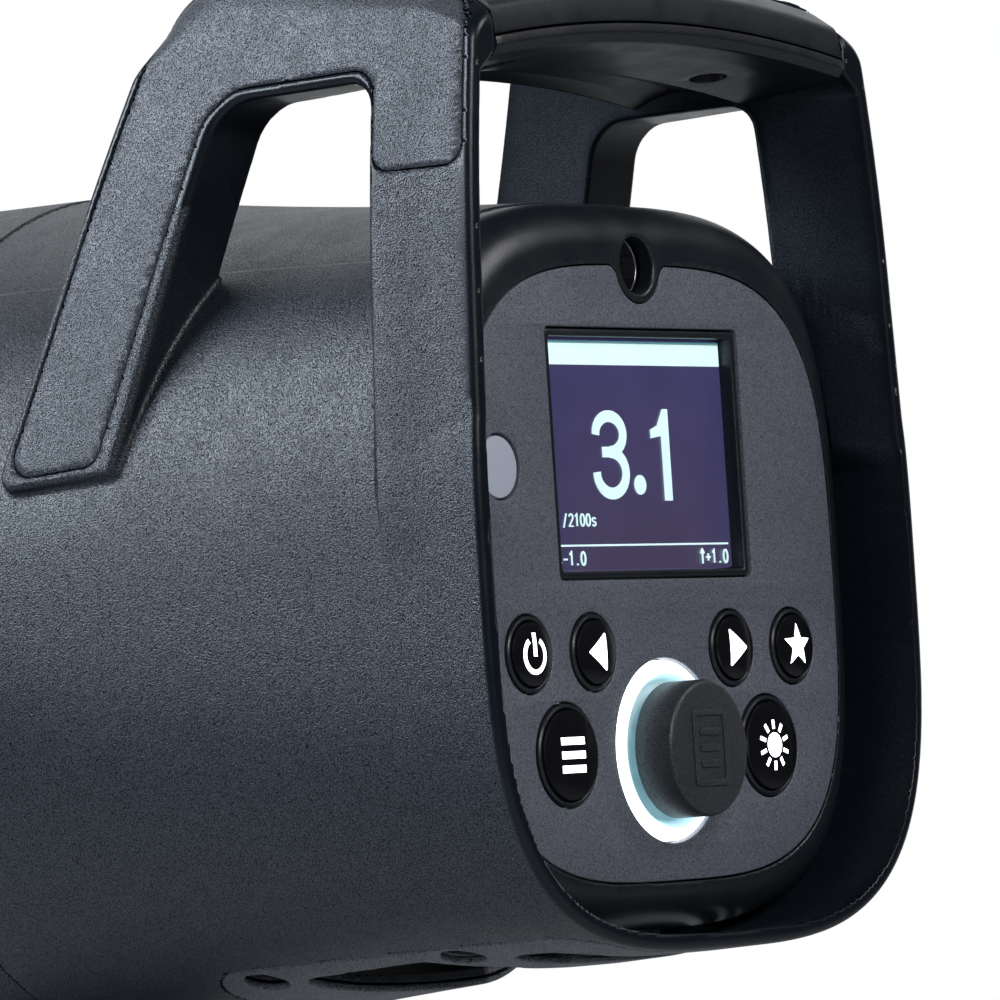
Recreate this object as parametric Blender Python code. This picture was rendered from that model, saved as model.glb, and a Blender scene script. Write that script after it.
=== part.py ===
"""Monolight strobe: a compact studio flash head on a tilting stand bracket.

Row frame, metres: +Y is the way the light shines, the control panel faces -Y, +X is on the
right of someone who reads the panel, +Z is up. The origin is the centre of the mouth of the
stand socket. Every part of the head is placed from the panel's plane and the optical axis.
"""
import math

import bmesh
import bpy
from mathutils import Matrix, Vector

# ---- driving dimensions -------------------------------------------------------------------
GAP = 0.0003                # air between two pieces that touch
AXIS_Z = 0.1380             # height of the optical axis above the stand socket's mouth
PANEL_Y = -0.1240           # plane of the control panel
HEAD_R = 0.0720             # radius of the round front half
WALL = 0.0028               # moulded wall

LIP_Y = -0.0102             # rear lip of the hood, from the panel's plane
SEAM_Y = 0.1060             # joint between the tapered rear shell and the round front shell
NOSE_Y = 0.2338             # front end of the bayonet ring
SHOULDER_Y = 0.0096         # where the tapered shell gives way to the rear bezel
HOOD_TOP_Z = 0.0200         # top of the hood's side walls, where the handles take over
SHELL_SEGMENTS = 40
SHELL_STATIONS = (SEAM_Y, 0.082, 0.058, 0.034, SHOULDER_Y, LIP_Y + 0.0012)

REAR_HALF_W = 0.0620        # hood at its lip
REAR_HALF_H = 0.0608
REAR_POWER = 3.3            # 2 is an ellipse, larger is squarer

BEZEL_HALF_W = 0.0586       # pillow-shaped rear bezel
BEZEL_HALF_H = 0.0592
BEZEL_Z = 0.0019
BEZEL_POWER = 3.4
BEZEL_EDGE = 0.0075         # rounding of the pillow's edge
PANEL_HALF_W = 0.0514       # flat control panel set into the bezel
PANEL_HALF_H = 0.0500
PANEL_Z = 0.0005
PANEL_POWER = 3.5
PANEL_T = 0.0024

UMBRELLA_Z = 0.0507         # umbrella shaft hole
UMBRELLA_R = 0.0046
UMBRELLA_WALL = 0.0008
UMBRELLA_TUBE_Y = 0.0036    # the tube starts a little behind the bezel's face
NOTCH_R = 0.0064            # tongue of the bezel round the umbrella hole
NOTCH_STEPS = 6
NOTCH_SHOULDER = math.radians(20)   # where the tongue's arc hands over to its shoulders

DISPLAY_W = 0.0548
DISPLAY_H = 0.0409
DISPLAY_Z = 0.01995
DISPLAY_RIM = 0.0012
CELL_X = -0.0419            # light-sensing cell of the remote trigger
CELL_Z = 0.0178
CELL_R = 0.0051
SMALL_BUTTON_R = 0.0062
LARGE_BUTTON_R = 0.0083
BUTTON_ROW_Z = -0.0121
KNOB_Z = -0.0284
KNOB_R = 0.0111
KNOB_PROUD = 0.0083
LIGHT_RING_R = 0.0147
BUTTONS = {                 # name: (x, z, radius)
    "power_button": (-0.0375, BUTTON_ROW_Z, SMALL_BUTTON_R),
    "previous_button": (-0.0197, BUTTON_ROW_Z, SMALL_BUTTON_R),
    "next_button": (0.0197, BUTTON_ROW_Z, SMALL_BUTTON_R),
    "favourite_button": (0.0375, BUTTON_ROW_Z, SMALL_BUTTON_R),
    "menu_button": (-0.0287, KNOB_Z, LARGE_BUTTON_R),
    "lamp_button": (0.0287, KNOB_Z, LARGE_BUTTON_R),
}
BUTTON_PROUD = 0.0013

HANDLE_FOOT = (0.0808, 0.0196)      # side view of the A-shaped handle: (y, z) of its corners
HANDLE_HEEL = (0.0580, 0.0209)
HANDLE_BROW = (0.0517, 0.0960)
HANDLE_PEAK = (0.0410, 0.1032)
HANDLE_NAPE = (-0.0035, 0.0960)
HANDLE_REAR = (LIP_Y, 0.0885)
WINDOW_REAR_Y = 0.0092
WINDOW_TOP_Z = 0.0796
WINDOW_FRONT = ((0.0345, 0.0790), (0.0392, 0.0759), (0.0610, 0.0211))
HANDLE_FLARE = 0.0987               # how fast the handle's face widens towards the front
COVER_T = 0.0016                    # inset cover on the handle's outer face
COVER_INSET = 0.0021
COVER_END_Z = 0.0650

SHOE_T = 0.0012             # base plate let into the shell's underside
SHOE_SEAT = 0.0015
SHOE_HALF_W = 0.0380
SHOE_REAR_Y = -0.0080
SHOE_FRONT_Y = 0.0702
SHOE_SCREWS = ((-0.0330, 0.0200), (0.0330, 0.0200), (-0.0325, 0.0603), (0.0325, 0.0603))
GRIP_HALF_L = 0.0495
GRIP_REAR_Y = -0.0100
GRIP_FRONT_Y = 0.0320
GRIP_ARCH = 0.0040
GRIP_PART_Z = 0.0889        # height of the line where the two half shells meet
GRIP_SCREW_X = 0.0300
GRIP_SCREW_Y = 0.0040

PIVOT_Z = -0.0890           # tilt axis, from the optical axis
PIVOT_Y = 0.1240
BOLT_R = 0.0040
LUG_R = 0.0120
TONGUE_HALF = 0.0090
DISC_T = 0.0012
LUG_T = 0.0060
SOCKET_R = 0.0082           # takes a 16 mm stand spigot
SOCKET_DEPTH = 0.0340
RECEIVER_HALF_X = 0.0140
RECEIVER_HALF_Y = 0.0112
RECEIVER_TOP_Z = -0.1032
CLAMP_Z = 0.0170            # height of the stand clamp's screw
CLAMP_R = 0.0040
CLAMP_KNOB_L = 0.0140
CLAMP_KNOB_R = 0.0098
CLAMP_LOBES = 6
CLAMP_LOBE_H = 0.0010
LEVER_HUB_R = 0.0100

PLATE_Y = 0.1980            # front chassis plate
RING_BORE_R = 0.0560        # clear bore of the bayonet ring
TUBE_RING_R = 0.0250
FAN_Y = 0.1480
FAN_HALF = 0.0300
FAN_T = 0.0150
FAN_BLADES = 7
FAN_TWIST = math.radians(32)
CHASSIS_HALF_W = 0.0460
BOARD_HALF_W = 0.0420
CAPACITOR_X = 0.0210
CAPACITOR_Z = -0.0260
CAPACITOR_R = 0.0200
SINK_HALF = 0.0260          # heat sink behind the modelling lamp
SINK_PITCH = 0.0078
SINK_FINS = 7
VENT_COUNT = 10             # air holes of the front plate
VENT_RING_R = 0.0470
VENT_R = 0.0032
GLASS_R = 0.0395            # bell-shaped glass over the flash tube
GLASS_T = 0.0023
GLASS_CROWN = 0.0180
INLET_Y = 0.1460            # connectors on the right-hand side
SYNC_Y = 0.1740
SYNC_Z = -0.0090
SYNC_R = 0.0042
USB_Y = 0.1740
USB_Z = 0.0060

MATERIALS = {               # name: (colour, roughness, metallic)
    "shell_plastic": ((0.035, 0.042, 0.052), 0.55, 0.0),
    "cover_plastic": ((0.050, 0.056, 0.066), 0.65, 0.0),
    "bezel_plastic": ((0.030, 0.034, 0.042), 0.45, 0.0),
    "panel_plastic": ((0.045, 0.048, 0.056), 0.60, 0.0),
    "black_gloss": ((0.008, 0.008, 0.010), 0.15, 0.0),
    "knob_plastic": ((0.020, 0.020, 0.023), 0.45, 0.0),
    "light_diffuser": ((0.80, 0.90, 0.92), 0.35, 0.0),
    "cell_diffuser": ((0.50, 0.50, 0.54), 0.40, 0.0),
    "display_glass": ((0.10, 0.10, 0.30), 0.08, 0.0),
    "circuit_board": ((0.02, 0.16, 0.07), 0.50, 0.0),
    "steel": ((0.55, 0.55, 0.57), 0.30, 1.0),
    "aluminium": ((0.70, 0.70, 0.72), 0.35, 1.0),
    "cast_black": ((0.030, 0.032, 0.036), 0.40, 0.6),
    "brass": ((0.75, 0.60, 0.28), 0.30, 1.0),
    "clear_glass": ((0.92, 0.94, 0.95), 0.05, 0.0),
    "lamp_phosphor": ((0.85, 0.75, 0.25), 0.50, 0.0),
    "capacitor_sleeve": ((0.03, 0.05, 0.12), 0.35, 0.0),
    "friction_pad": ((0.10, 0.08, 0.07), 0.80, 0.0),
}


# ---- small tools --------------------------------------------------------------------------
def clear_scene():
    for obj in list(bpy.data.objects):
        bpy.data.objects.remove(obj, do_unlink=True)


def material(name):
    mat = bpy.data.materials.get(name)
    if mat is None:
        colour, roughness, metallic = MATERIALS[name]
        mat = bpy.data.materials.new(name)
        mat.use_nodes = True
        shader = mat.node_tree.nodes["Principled BSDF"]
        shader.inputs["Base Color"].default_value = (*colour, 1.0)
        shader.inputs["Roughness"].default_value = roughness
        shader.inputs["Metallic"].default_value = metallic
    return mat


def head_point(x, y, z):
    """A point given from the panel's plane and the optical axis, in the row frame."""
    return Vector((x, PANEL_Y + y, AXIS_Z + z))


def add_object(name, bm, mat_name, pivot=None, parent=None):
    """Turn a bmesh in the row frame into an object whose origin is the pivot point."""
    origin = Vector(pivot) if pivot is not None else Vector((0.0, 0.0, 0.0))
    bmesh.ops.recalc_face_normals(bm, faces=bm.faces)
    bmesh.ops.translate(bm, vec=-origin, verts=bm.verts)
    mesh = bpy.data.meshes.new(name)
    bm.to_mesh(mesh)
    bm.free()
    mesh.shade_smooth()
    mesh.set_sharp_from_angle(angle=math.radians(35))
    obj = bpy.data.objects.new(name, mesh)
    obj.location = origin
    bpy.context.scene.collection.objects.link(obj)
    if mat_name:
        mesh.materials.append(material(mat_name))
    if parent is not None:
        obj.parent = parent
        obj.matrix_parent_inverse = Matrix.Translation(-parent.location)
    return obj


def add_empty(name, location):
    empty = bpy.data.objects.new(name, None)
    empty.location = location
    empty.empty_display_size = 0.02
    bpy.context.scene.collection.objects.link(empty)
    return empty


def boolean(target, other, operation="DIFFERENCE"):
    """Cut or join with a helper object, which is then only a guide."""
    other.hide_render = True
    other.display_type = "WIRE"
    mod = target.modifiers.new(other.name, "BOOLEAN")
    mod.operation = operation
    mod.solver = "EXACT"
    mod.object = other


def cut(target, name, bm):
    boolean(target, add_object(name, bm, None))


def join(target, name, bm):
    boolean(target, add_object(name, bm, None), "UNION")


def keep_inside(target, name, bm):
    boolean(target, add_object(name, bm, None), "INTERSECT")


def loft(rings, closed_loop=False):
    """A skin over rings of equal length; ends are capped unless the loft closes on itself."""
    bm = bmesh.new()
    loops = [[bm.verts.new(p) for p in ring] for ring in rings]
    count = len(loops[0])
    pairs = list(zip(loops, loops[1:]))
    if closed_loop:
        pairs.append((loops[-1], loops[0]))
    for low, high in pairs:
        for i in range(count):
            j = (i + 1) % count
            bm.faces.new((low[i], low[j], high[j], high[i]))
    if not closed_loop:
        bm.faces.new(loops[0])
        bm.faces.new(loops[-1])
    return bm


def axis_frame(axis):
    """Two unit vectors square to a row axis."""
    frames = {
        "x": (Vector((0, 1, 0)), Vector((0, 0, 1)), Vector((1, 0, 0))),
        "y": (Vector((0, 0, 1)), Vector((1, 0, 0)), Vector((0, 1, 0))),
        "z": (Vector((1, 0, 0)), Vector((0, 1, 0)), Vector((0, 0, 1))),
    }
    return frames[axis]


def turned(profile, axis, centre, segments=32, closed_loop=False):
    """Revolve (radius, distance along the axis) points; a solid rod's ends are capped."""
    side, up, along = axis_frame(axis)
    rings = []
    for radius, distance in profile:
        ring = []
        for i in range(segments):
            turn = 2 * math.pi * i / segments
            spoke = side * math.cos(turn) + up * math.sin(turn)
            ring.append(Vector(centre) + along * distance + spoke * radius)
        rings.append(ring)
    return loft(rings, closed_loop)


def rod(radius, low, high, axis, centre, segments=32):
    return turned([(radius, low), (radius, high)], axis, centre, segments)


def pipe(outer, inner, low, high, axis, centre, segments=32):
    profile = [(outer, low), (outer, high), (inner, high), (inner, low)]
    return turned(profile, axis, centre, segments, closed_loop=True)


def box(low, high):
    """A box between two corners, given in the row frame."""
    bm = bmesh.new()
    bmesh.ops.create_cube(bm, size=1.0)
    low = Vector(low)
    high = Vector(high)
    bmesh.ops.scale(bm, vec=high - low, verts=bm.verts)
    bmesh.ops.translate(bm, vec=(low + high) / 2, verts=bm.verts)
    return bm


def head_box(low, high):
    return box(head_point(*low), head_point(*high))


def head_prism(outline, low_y, high_y):
    """Extrude an (x, z) outline, given from the optical axis, along Y."""
    rings = [[head_point(x, y, z) for x, z in outline] for y in (low_y, high_y)]
    return loft(rings)


def side_prism(outline, low_x, high_x):
    """Extrude a (y, z) outline, given from panel and axis, along X."""
    rings = [[head_point(x, y, z) for y, z in outline] for x in (low_x, high_x)]
    return loft(rings)


def superellipse(half_w, half_h, power, centre_z=0.0, count=SHELL_SEGMENTS):
    """Points (x, z) of a squared-off oval."""
    points = []
    for i in range(count):
        turn = 2 * math.pi * (i + 0.5) / count
        cosine = math.cos(turn)
        sine = math.sin(turn)
        reach = (abs(cosine) ** power + abs(sine) ** power) ** (-1 / power)
        points.append((half_w * reach * cosine, centre_z + half_h * reach * sine))
    return points


def rounded_rect(half_w, half_h, radius, centre=(0.0, 0.0), steps=5):
    points = []
    for quarter in range(4):
        sign_x = 1 if quarter in (0, 3) else -1
        sign_z = 1 if quarter in (0, 1) else -1
        for i in range(steps):
            turn = math.pi / 2 * (quarter + i / (steps - 1))
            x = centre[0] + sign_x * (half_w - radius) + radius * math.cos(turn)
            z = centre[1] + sign_z * (half_h - radius) + radius * math.sin(turn)
            points.append((x, z))
    return points


def rounded_polygon(corners, steps=3):
    """Corners are (y, z, radius); a zero radius keeps a sharp corner."""
    points = []
    count = len(corners)
    for i, (y, z, radius) in enumerate(corners):
        here = Vector((y, z))
        if radius <= 0:
            points.append((y, z))
            continue
        before = (Vector(corners[i - 1][:2]) - here).normalized()
        after = (Vector(corners[(i + 1) % count][:2]) - here).normalized()
        half_angle = before.angle(after) / 2
        centre = here + (before + after).normalized() * (radius / math.sin(half_angle))
        start = here + before * (radius / math.tan(half_angle)) - centre
        end = here + after * (radius / math.tan(half_angle)) - centre
        sweep = start.angle_signed(end)
        for k in range(steps + 1):
            spoke = start.copy()
            spoke.rotate(Matrix.Rotation(-sweep * k / steps, 2))
            points.append(tuple(centre + spoke))
    return points


# ---- the tapered housing ------------------------------------------------------------------
def taper(y):
    """0 at the rear lip, 1 at the seam."""
    return min(max((y - LIP_Y) / (SEAM_Y - LIP_Y), 0.0), 1.0)


def shell_sizes(y):
    """Half-width, half-height and squareness of the head's outer skin at y."""
    t = taper(y)
    half_w = REAR_HALF_W + (HEAD_R - REAR_HALF_W) * t
    half_h = REAR_HALF_H + (HEAD_R - REAR_HALF_H) * (0.5 * t + 0.5 * t * t)
    return half_w, half_h, REAR_POWER + (2.0 - REAR_POWER) * t


def shell_ring(y, inset=0.0):
    """Outline of the head's outer skin at y, moved inwards by the inset."""
    half_w, half_h, power = shell_sizes(y)
    outline = superellipse(half_w - inset, half_h - inset, power)
    return [head_point(x, y, z) for x, z in outline]


def build_body_shell():
    rings = [shell_ring(y) for y in SHELL_STATIONS]
    rings.append(shell_ring(LIP_Y, 0.0009))
    rings.append(shell_ring(LIP_Y, 0.0019))
    rings.append(shell_ring(0.0, 0.0036))
    rings += [shell_ring(y, WALL) for y in (SHOULDER_Y + 0.004, 0.058, SEAM_Y)]
    shell = add_object("body_shell", loft(rings, closed_loop=True), "shell_plastic")
    crown_low = (-0.09, LIP_Y - 0.01, HOOD_TOP_Z)
    crown = add_object("cut_crown", head_box(crown_low, (0.09, SHOULDER_Y, 0.09)), None)
    boolean(shell, crown)
    return shell


def build_front_shell():
    low = SEAM_Y + GAP
    high = PLATE_Y + 0.006
    centre = head_point(0, 0, 0)
    outer = HEAD_R
    inner = HEAD_R - 0.003
    profile = [(outer, low), (outer, high - 0.002), (outer - 0.001, high), (inner, high),
               (inner, low)]
    bm = turned(profile, "y", centre, SHELL_SEGMENTS, closed_loop=True)
    shell = add_object("front_shell", bm, "shell_plastic")
    hole = head_box((0.050, 0.1275, -0.0175), (0.080, 0.1925, 0.0175))
    cut(shell, "cut_connector_bay", hole)


def panel_outline(grow=0.0, notch_grow=0.0):
    """Outline of the control panel with its notch for the umbrella hole."""
    half_w = PANEL_HALF_W + grow
    half_h = PANEL_HALF_H + grow
    points = superellipse(half_w, half_h, PANEL_POWER, PANEL_Z)
    reach = NOTCH_R + notch_grow
    mouth = reach + 0.0036
    top = PANEL_Z + half_h
    kept = [p for p in points if not (abs(p[0]) < mouth and p[1] > 0)]
    first = next(i for i, p in enumerate(kept) if p[0] < 0 and p[1] > 0)
    notch = [(mouth, top), (reach + 0.0010, top - 0.0008)]
    for i in range(NOTCH_STEPS + 1):
        turn = NOTCH_SHOULDER + (math.pi - 2 * NOTCH_SHOULDER) * i / NOTCH_STEPS
        notch.append((reach * math.cos(turn), UMBRELLA_Z - reach * math.sin(turn)))
    notch += [(-reach - 0.0010, top - 0.0008), (-mouth, top)]
    return kept[:first] + notch + kept[first:]


def bezel_ring(y, inset):
    outline = superellipse(BEZEL_HALF_W - inset, BEZEL_HALF_H - inset, BEZEL_POWER, BEZEL_Z)
    return [head_point(x, y, z) for x, z in outline]


def bezel_rings(grow=0.0):
    """The pillow's rounded edge, from its back to its face."""
    rings = [bezel_ring(SHOULDER_Y - GAP, -grow)]
    for i in range(4):
        turn = math.pi / 2 * i / 3
        y = BEZEL_EDGE * (1 - math.sin(turn)) - grow
        rings.append(bezel_ring(y, BEZEL_EDGE * (1 - math.cos(turn)) - grow))
    return rings


def build_rear_bezel():
    bezel = add_object("rear_bezel", loft(bezel_rings()), "bezel_plastic")
    seat = head_prism(panel_outline(GAP, -GAP), -0.002, PANEL_T + GAP)
    cut(bezel, "cut_panel_seat", seat)
    window = head_prism(panel_outline(-0.0035, 0.0030), 0.0, 0.02)
    cut(bezel, "cut_panel_window", window)
    wide = UMBRELLA_R + UMBRELLA_WALL + GAP
    step = UMBRELLA_TUBE_Y - GAP
    profile = [(UMBRELLA_R, -0.01), (UMBRELLA_R, step), (wide, step), (wide, 0.02)]
    bore = turned(profile, "y", head_point(0, 0, UMBRELLA_Z), 20)
    cut(bezel, "cut_bezel_bore", bore)


# ---- handles ------------------------------------------------------------------------------
def handle_face(y, z):
    """Half-width of the handle's outer face at a point of its side view."""
    lean = 0.055 * (z - 0.006)
    tuck = 1.6 * max(0.0, z - 0.050) ** 2
    flare = HANDLE_FLARE - 0.82 * (z - 0.0216)
    return 0.0621 - lean - tuck + flare * (y - LIP_Y)


def handle_thickness(y):
    """Thin at the rear lip, thicker towards the front leg."""
    reach = min(max((y - LIP_Y) / 0.0532, 0.0), 1.0)
    return 0.0026 + 0.0114 * math.sin(math.pi / 2 * reach)


def handle_outline():
    corners = [
        (*HANDLE_FOOT, 0.0025),
        (*HANDLE_BROW, 0.012),
        (*HANDLE_PEAK, 0.006),
        (*HANDLE_NAPE, 0.010),
        (*HANDLE_REAR, 0.006),
        (LIP_Y, HOOD_TOP_Z + GAP, 0),
        (WINDOW_REAR_Y, HOOD_TOP_Z + GAP, 0),
        (WINDOW_REAR_Y, WINDOW_TOP_Z, 0.004),
        (*WINDOW_FRONT[0], 0.008),
        (*WINDOW_FRONT[1], 0.008),
        (*HANDLE_HEEL, 0.0015),
    ]
    return rounded_polygon(corners)


def cover_outline(inset):
    """The inset cover: front leg, top and the upper end of the rear leg."""
    lean = 0.38 * inset
    corners = [
        (HANDLE_FOOT[0] - inset - lean, HANDLE_FOOT[1] + inset, 0.003),
        (HANDLE_BROW[0] - 0.8 * inset, HANDLE_BROW[1] - 0.7 * inset, 0.010),
        (HANDLE_PEAK[0], HANDLE_PEAK[1] - inset, 0.005),
        (HANDLE_NAPE[0], HANDLE_NAPE[1] - inset, 0.009),
        (LIP_Y + inset, HANDLE_REAR[1] - 0.5 * inset, 0.005),
        (LIP_Y + inset, COVER_END_Z, 0.003),
        (WINDOW_REAR_Y - 0.5 * inset, COVER_END_Z, 0.003),
        (WINDOW_REAR_Y - 0.5 * inset, WINDOW_TOP_Z + inset, 0.004),
        (WINDOW_FRONT[0][0] + 0.5 * inset, WINDOW_FRONT[0][1] + inset, 0.0085),
        (WINDOW_FRONT[1][0] + inset, WINDOW_FRONT[1][1] + 0.4 * inset, 0.0085),
        (HANDLE_HEEL[0] + inset + 0.001, HANDLE_HEEL[1] + inset, 0.003),
    ]
    return rounded_polygon(corners)


def plate_along_face(outline, side, outer_depth, inner_depth):
    """A plate whose two faces follow the handle's leaning outer face."""
    bm = bmesh.new()
    verts = [bm.verts.new((0, y, z)) for y, z in outline]
    edges = [bm.edges.new((verts[i - 1], verts[i])) for i in range(len(verts))]
    bmesh.ops.triangle_fill(bm, edges=edges, use_beauty=True)
    for z in (0.050, 0.080):
        geom = bm.verts[:] + bm.edges[:] + bm.faces[:]
        bmesh.ops.bisect_plane(bm, geom=geom, plane_co=(0, 0, z), plane_no=(0, 0, 1))
    for y in (0.008, 0.034):
        geom = bm.verts[:] + bm.edges[:] + bm.faces[:]
        bmesh.ops.bisect_plane(bm, geom=geom, plane_co=(0, y, 0), plane_no=(0, 1, 0))
    outer = set(bm.verts)
    bmesh.ops.extrude_face_region(bm, geom=bm.faces[:])
    faces = list(bm.faces)
    for vert in bm.verts:
        y = vert.co.y
        z = vert.co.z
        depth = outer_depth(y) if vert in outer else inner_depth(y)
        vert.co = head_point(side * (handle_face(y, z) - depth), y, z)
    bmesh.ops.triangulate(bm, faces=faces)
    return bm


def cutter_head(name):
    """The space of the shell and the bezel, a gap larger, as one cutter for the handles."""
    stations = [SHOULDER_Y - GAP] + list(SHELL_STATIONS[3::-1])
    return add_object(name, loft([shell_ring(y, -GAP) for y in stations]), None)


def build_handle(side, label):
    solid = plate_along_face(handle_outline(), side, lambda y: 0.0, handle_thickness)
    handle = add_object(f"handle_{label}", solid, "shell_plastic")
    boolean(handle, cutter_head(f"cut_handle_shell_{label}"))
    pillow = add_object(f"cut_handle_bezel_{label}", loft(bezel_rings(GAP)), None)
    boolean(handle, pillow)
    seat = plate_along_face(cover_outline(COVER_INSET - GAP), side,
                            lambda y: -0.004, lambda y: COVER_T + 2 * GAP)
    cut(handle, f"cut_cover_seat_{label}", seat)
    cover = plate_along_face(cover_outline(COVER_INSET), side,
                             lambda y: GAP, lambda y: COVER_T + GAP)
    add_object(f"handle_cover_{label}", cover, "cover_plastic")


# ---- cross grip ---------------------------------------------------------------------------
def grip_rings(section):
    """Sweep a (y, z) section, given from the parting line, across the head on a shallow arch."""
    rings = []
    for i in range(9):
        x = GRIP_HALF_L * (i / 4 - 1)
        lift = GRIP_PART_Z - GRIP_ARCH * (x / 0.050) ** 2
        rings.append([head_point(x, y, z + lift) for y, z in section])
    return rings


def build_grip():
    """Two half shells that meet on a line along the grip's rear and front edges."""
    mid = (GRIP_REAR_Y + GRIP_FRONT_Y) / 2
    upper = [(GRIP_REAR_Y, GAP), (GRIP_REAR_Y + 0.001, 0.0050), (GRIP_REAR_Y + 0.006, 0.0085),
             (mid, 0.0110), (GRIP_FRONT_Y - 0.006, 0.0125), (GRIP_FRONT_Y - 0.001, 0.0090),
             (GRIP_FRONT_Y, 0.0040 + GAP)]
    lower = [(GRIP_REAR_Y, 0.0), (GRIP_FRONT_Y, 0.0040), (GRIP_FRONT_Y - 0.001, -0.0035),
             (GRIP_FRONT_Y - 0.008, -0.0072), (mid + 0.004, -0.0080), (mid - 0.003, -0.0058),
             (mid - 0.012, -0.0035), (GRIP_REAR_Y + 0.0006, -0.0028)]
    top = add_object("grip_upper", loft(grip_rings(upper)), "bezel_plastic")
    bottom = add_object("grip_lower", loft(grip_rings(lower)), "shell_plastic")
    for side, label in ((-1, "left"), (1, "right")):
        stop = side_stop(side)
        for part in (top, bottom):
            end = add_object(f"cut_{part.name}_{label}", stop.copy(), None)
            boolean(part, end)
        stop.free()
        centre = head_point(side * GRIP_SCREW_X, GRIP_SCREW_Y, GRIP_PART_Z)
        hole = rod(0.0032, -0.0190, 0.0010, "z", centre, 16)
        cut(bottom, f"cut_grip_screw_{label}", hole)
        screw = turned([(0.0029, -0.0040), (0.0029, -0.0020), (0.0015, -0.0020),
                        (0.0015, -0.0004)], "z", centre, 16)
        add_object(f"grip_screw_{label}", screw, "steel")


def side_stop(side):
    """A block just inside the handle's inner face, which trims the grip's end."""
    rings = []
    for y in (-0.012, 0.0, 0.012, 0.024, 0.040):
        ring = []
        for z, far in ((0.070, False), (0.112, False), (0.112, True), (0.070, True)):
            near = handle_face(y, z) - handle_thickness(y) - GAP
            ring.append(head_point(side * (0.08 if far else near), y, z))
        rings.append(ring)
    return loft(rings)


# ---- underside ----------------------------------------------------------------------------
def shell_band(name, outer_inset, inner_inset, mat_name):
    """A layer of the tapered shell between two depths under its skin."""
    stations = SHELL_STATIONS[1:]
    rings = [shell_ring(y, outer_inset) for y in stations]
    rings += [shell_ring(y, inner_inset) for y in stations[::-1]]
    return add_object(name, loft(rings, closed_loop=True), mat_name)


def plan_prism(outline):
    """Extrude an (x, y) outline, seen from below, through the bottom of the shell."""
    rings = [[head_point(x, y, z) for x, y in outline] for z in (-0.085, -0.042)]
    return loft(rings)


def shoe_outline(shrink):
    half_y = (SHOE_FRONT_Y - SHOE_REAR_Y) / 2 - shrink
    centre = (0.0, (SHOE_FRONT_Y + SHOE_REAR_Y) / 2)
    return rounded_rect(SHOE_HALF_W - shrink, half_y, 0.009, centre)


def pocket_outlines():
    """Two air pockets; the web between them runs back towards the middle."""
    front = [(0.0315, 0.0547, 0.003), (0.0130, 0.0490, 0.008), (-0.0130, 0.0490, 0.008),
             (-0.0315, 0.0547, 0.003), (-0.0330, 0.0275, 0.004), (-0.0220, 0.0190, 0.006),
             (0.0220, 0.0190, 0.006), (0.0330, 0.0275, 0.004)]
    rear = [(0.0305, 0.0135, 0.003), (0.0130, 0.0110, 0.008), (-0.0130, 0.0110, 0.008),
            (-0.0305, 0.0135, 0.003), (-0.0300, 0.0045, 0.003), (-0.0240, 0.0005, 0.003),
            (0.0240, 0.0005, 0.003), (0.0300, 0.0045, 0.003)]
    return rounded_polygon(front, 2), rounded_polygon(rear, 2)


def shell_drop(x, y):
    """How far the shell's skin lies below the optical axis at (x, y)."""
    half_w, half_h, power = shell_sizes(y)
    return half_h * (1 - (abs(x) / half_w) ** power) ** (1 / power)


def build_base_shoe(shell):
    """A plate let flush into the underside, with two air pockets and four screw holes."""
    seat = shell_band("cut_shoe_seat", -0.002, SHOE_SEAT, None)
    keep_inside(seat, "shape_shoe_seat", plan_prism(shoe_outline(0.0)))
    boolean(shell, seat)
    shoe = shell_band("base_shoe", 0.0, SHOE_T, "cover_plastic")
    keep_inside(shoe, "shape_shoe", plan_prism(shoe_outline(GAP)))
    for i, outline in enumerate(pocket_outlines()):
        pocket = add_object(f"cut_pocket_{i}", plan_prism(outline), None)
        boolean(shoe, pocket)
        if i == 0:
            boolean(shell, pocket)
    for i, (x, y) in enumerate(SHOE_SCREWS):
        centre = head_point(x, y, 0)
        well = add_object(f"cut_shoe_screw_{i}", rod(0.0036, -0.09, -0.050, "z", centre, 10), None)
        boolean(shoe, well)
        boolean(shell, well)
        top = SHOE_SEAT - shell_drop(x, y)
        screw = rod(0.0032, top, top + 0.0060, "z", centre, 10)
        add_object(f"shoe_screw_{i + 1}", screw, "steel")


# ---- control panel ------------------------------------------------------------------------
def build_control_panel():
    panel = add_object("control_panel", head_prism(panel_outline(), 0.0, PANEL_T), "panel_plastic")
    window = rounded_rect(DISPLAY_W / 2, DISPLAY_H / 2, 0.0010, (0, DISPLAY_Z), 3)
    cut(panel, "cut_display", head_prism(window, -0.005, 0.005))
    for name, (x, z, radius) in BUTTONS.items():
        hole = rod(radius + GAP, -0.005, 0.005, "y", head_point(x, 0, z), 16)
        cut(panel, f"cut_{name}", hole)
    hole = rod(LIGHT_RING_R + GAP, -0.005, 0.005, "y", head_point(0, 0, KNOB_Z), 28)
    cut(panel, "cut_light_ring", hole)
    centre = head_point(CELL_X, 0, CELL_Z)
    hole = rod(CELL_R + GAP, -0.005, 0.005, "y", centre, 16)
    cut(panel, "cut_photocell", hole)
    cell = rod(CELL_R, 0.0002, 0.0040, "y", centre, 16)
    add_object("photocell_window", cell, "cell_diffuser")


def display_outline(inset, radius):
    half_w = DISPLAY_W / 2 - GAP - inset
    half_h = DISPLAY_H / 2 - GAP - inset
    return rounded_rect(half_w, half_h, radius, (0, DISPLAY_Z), 3)


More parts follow.
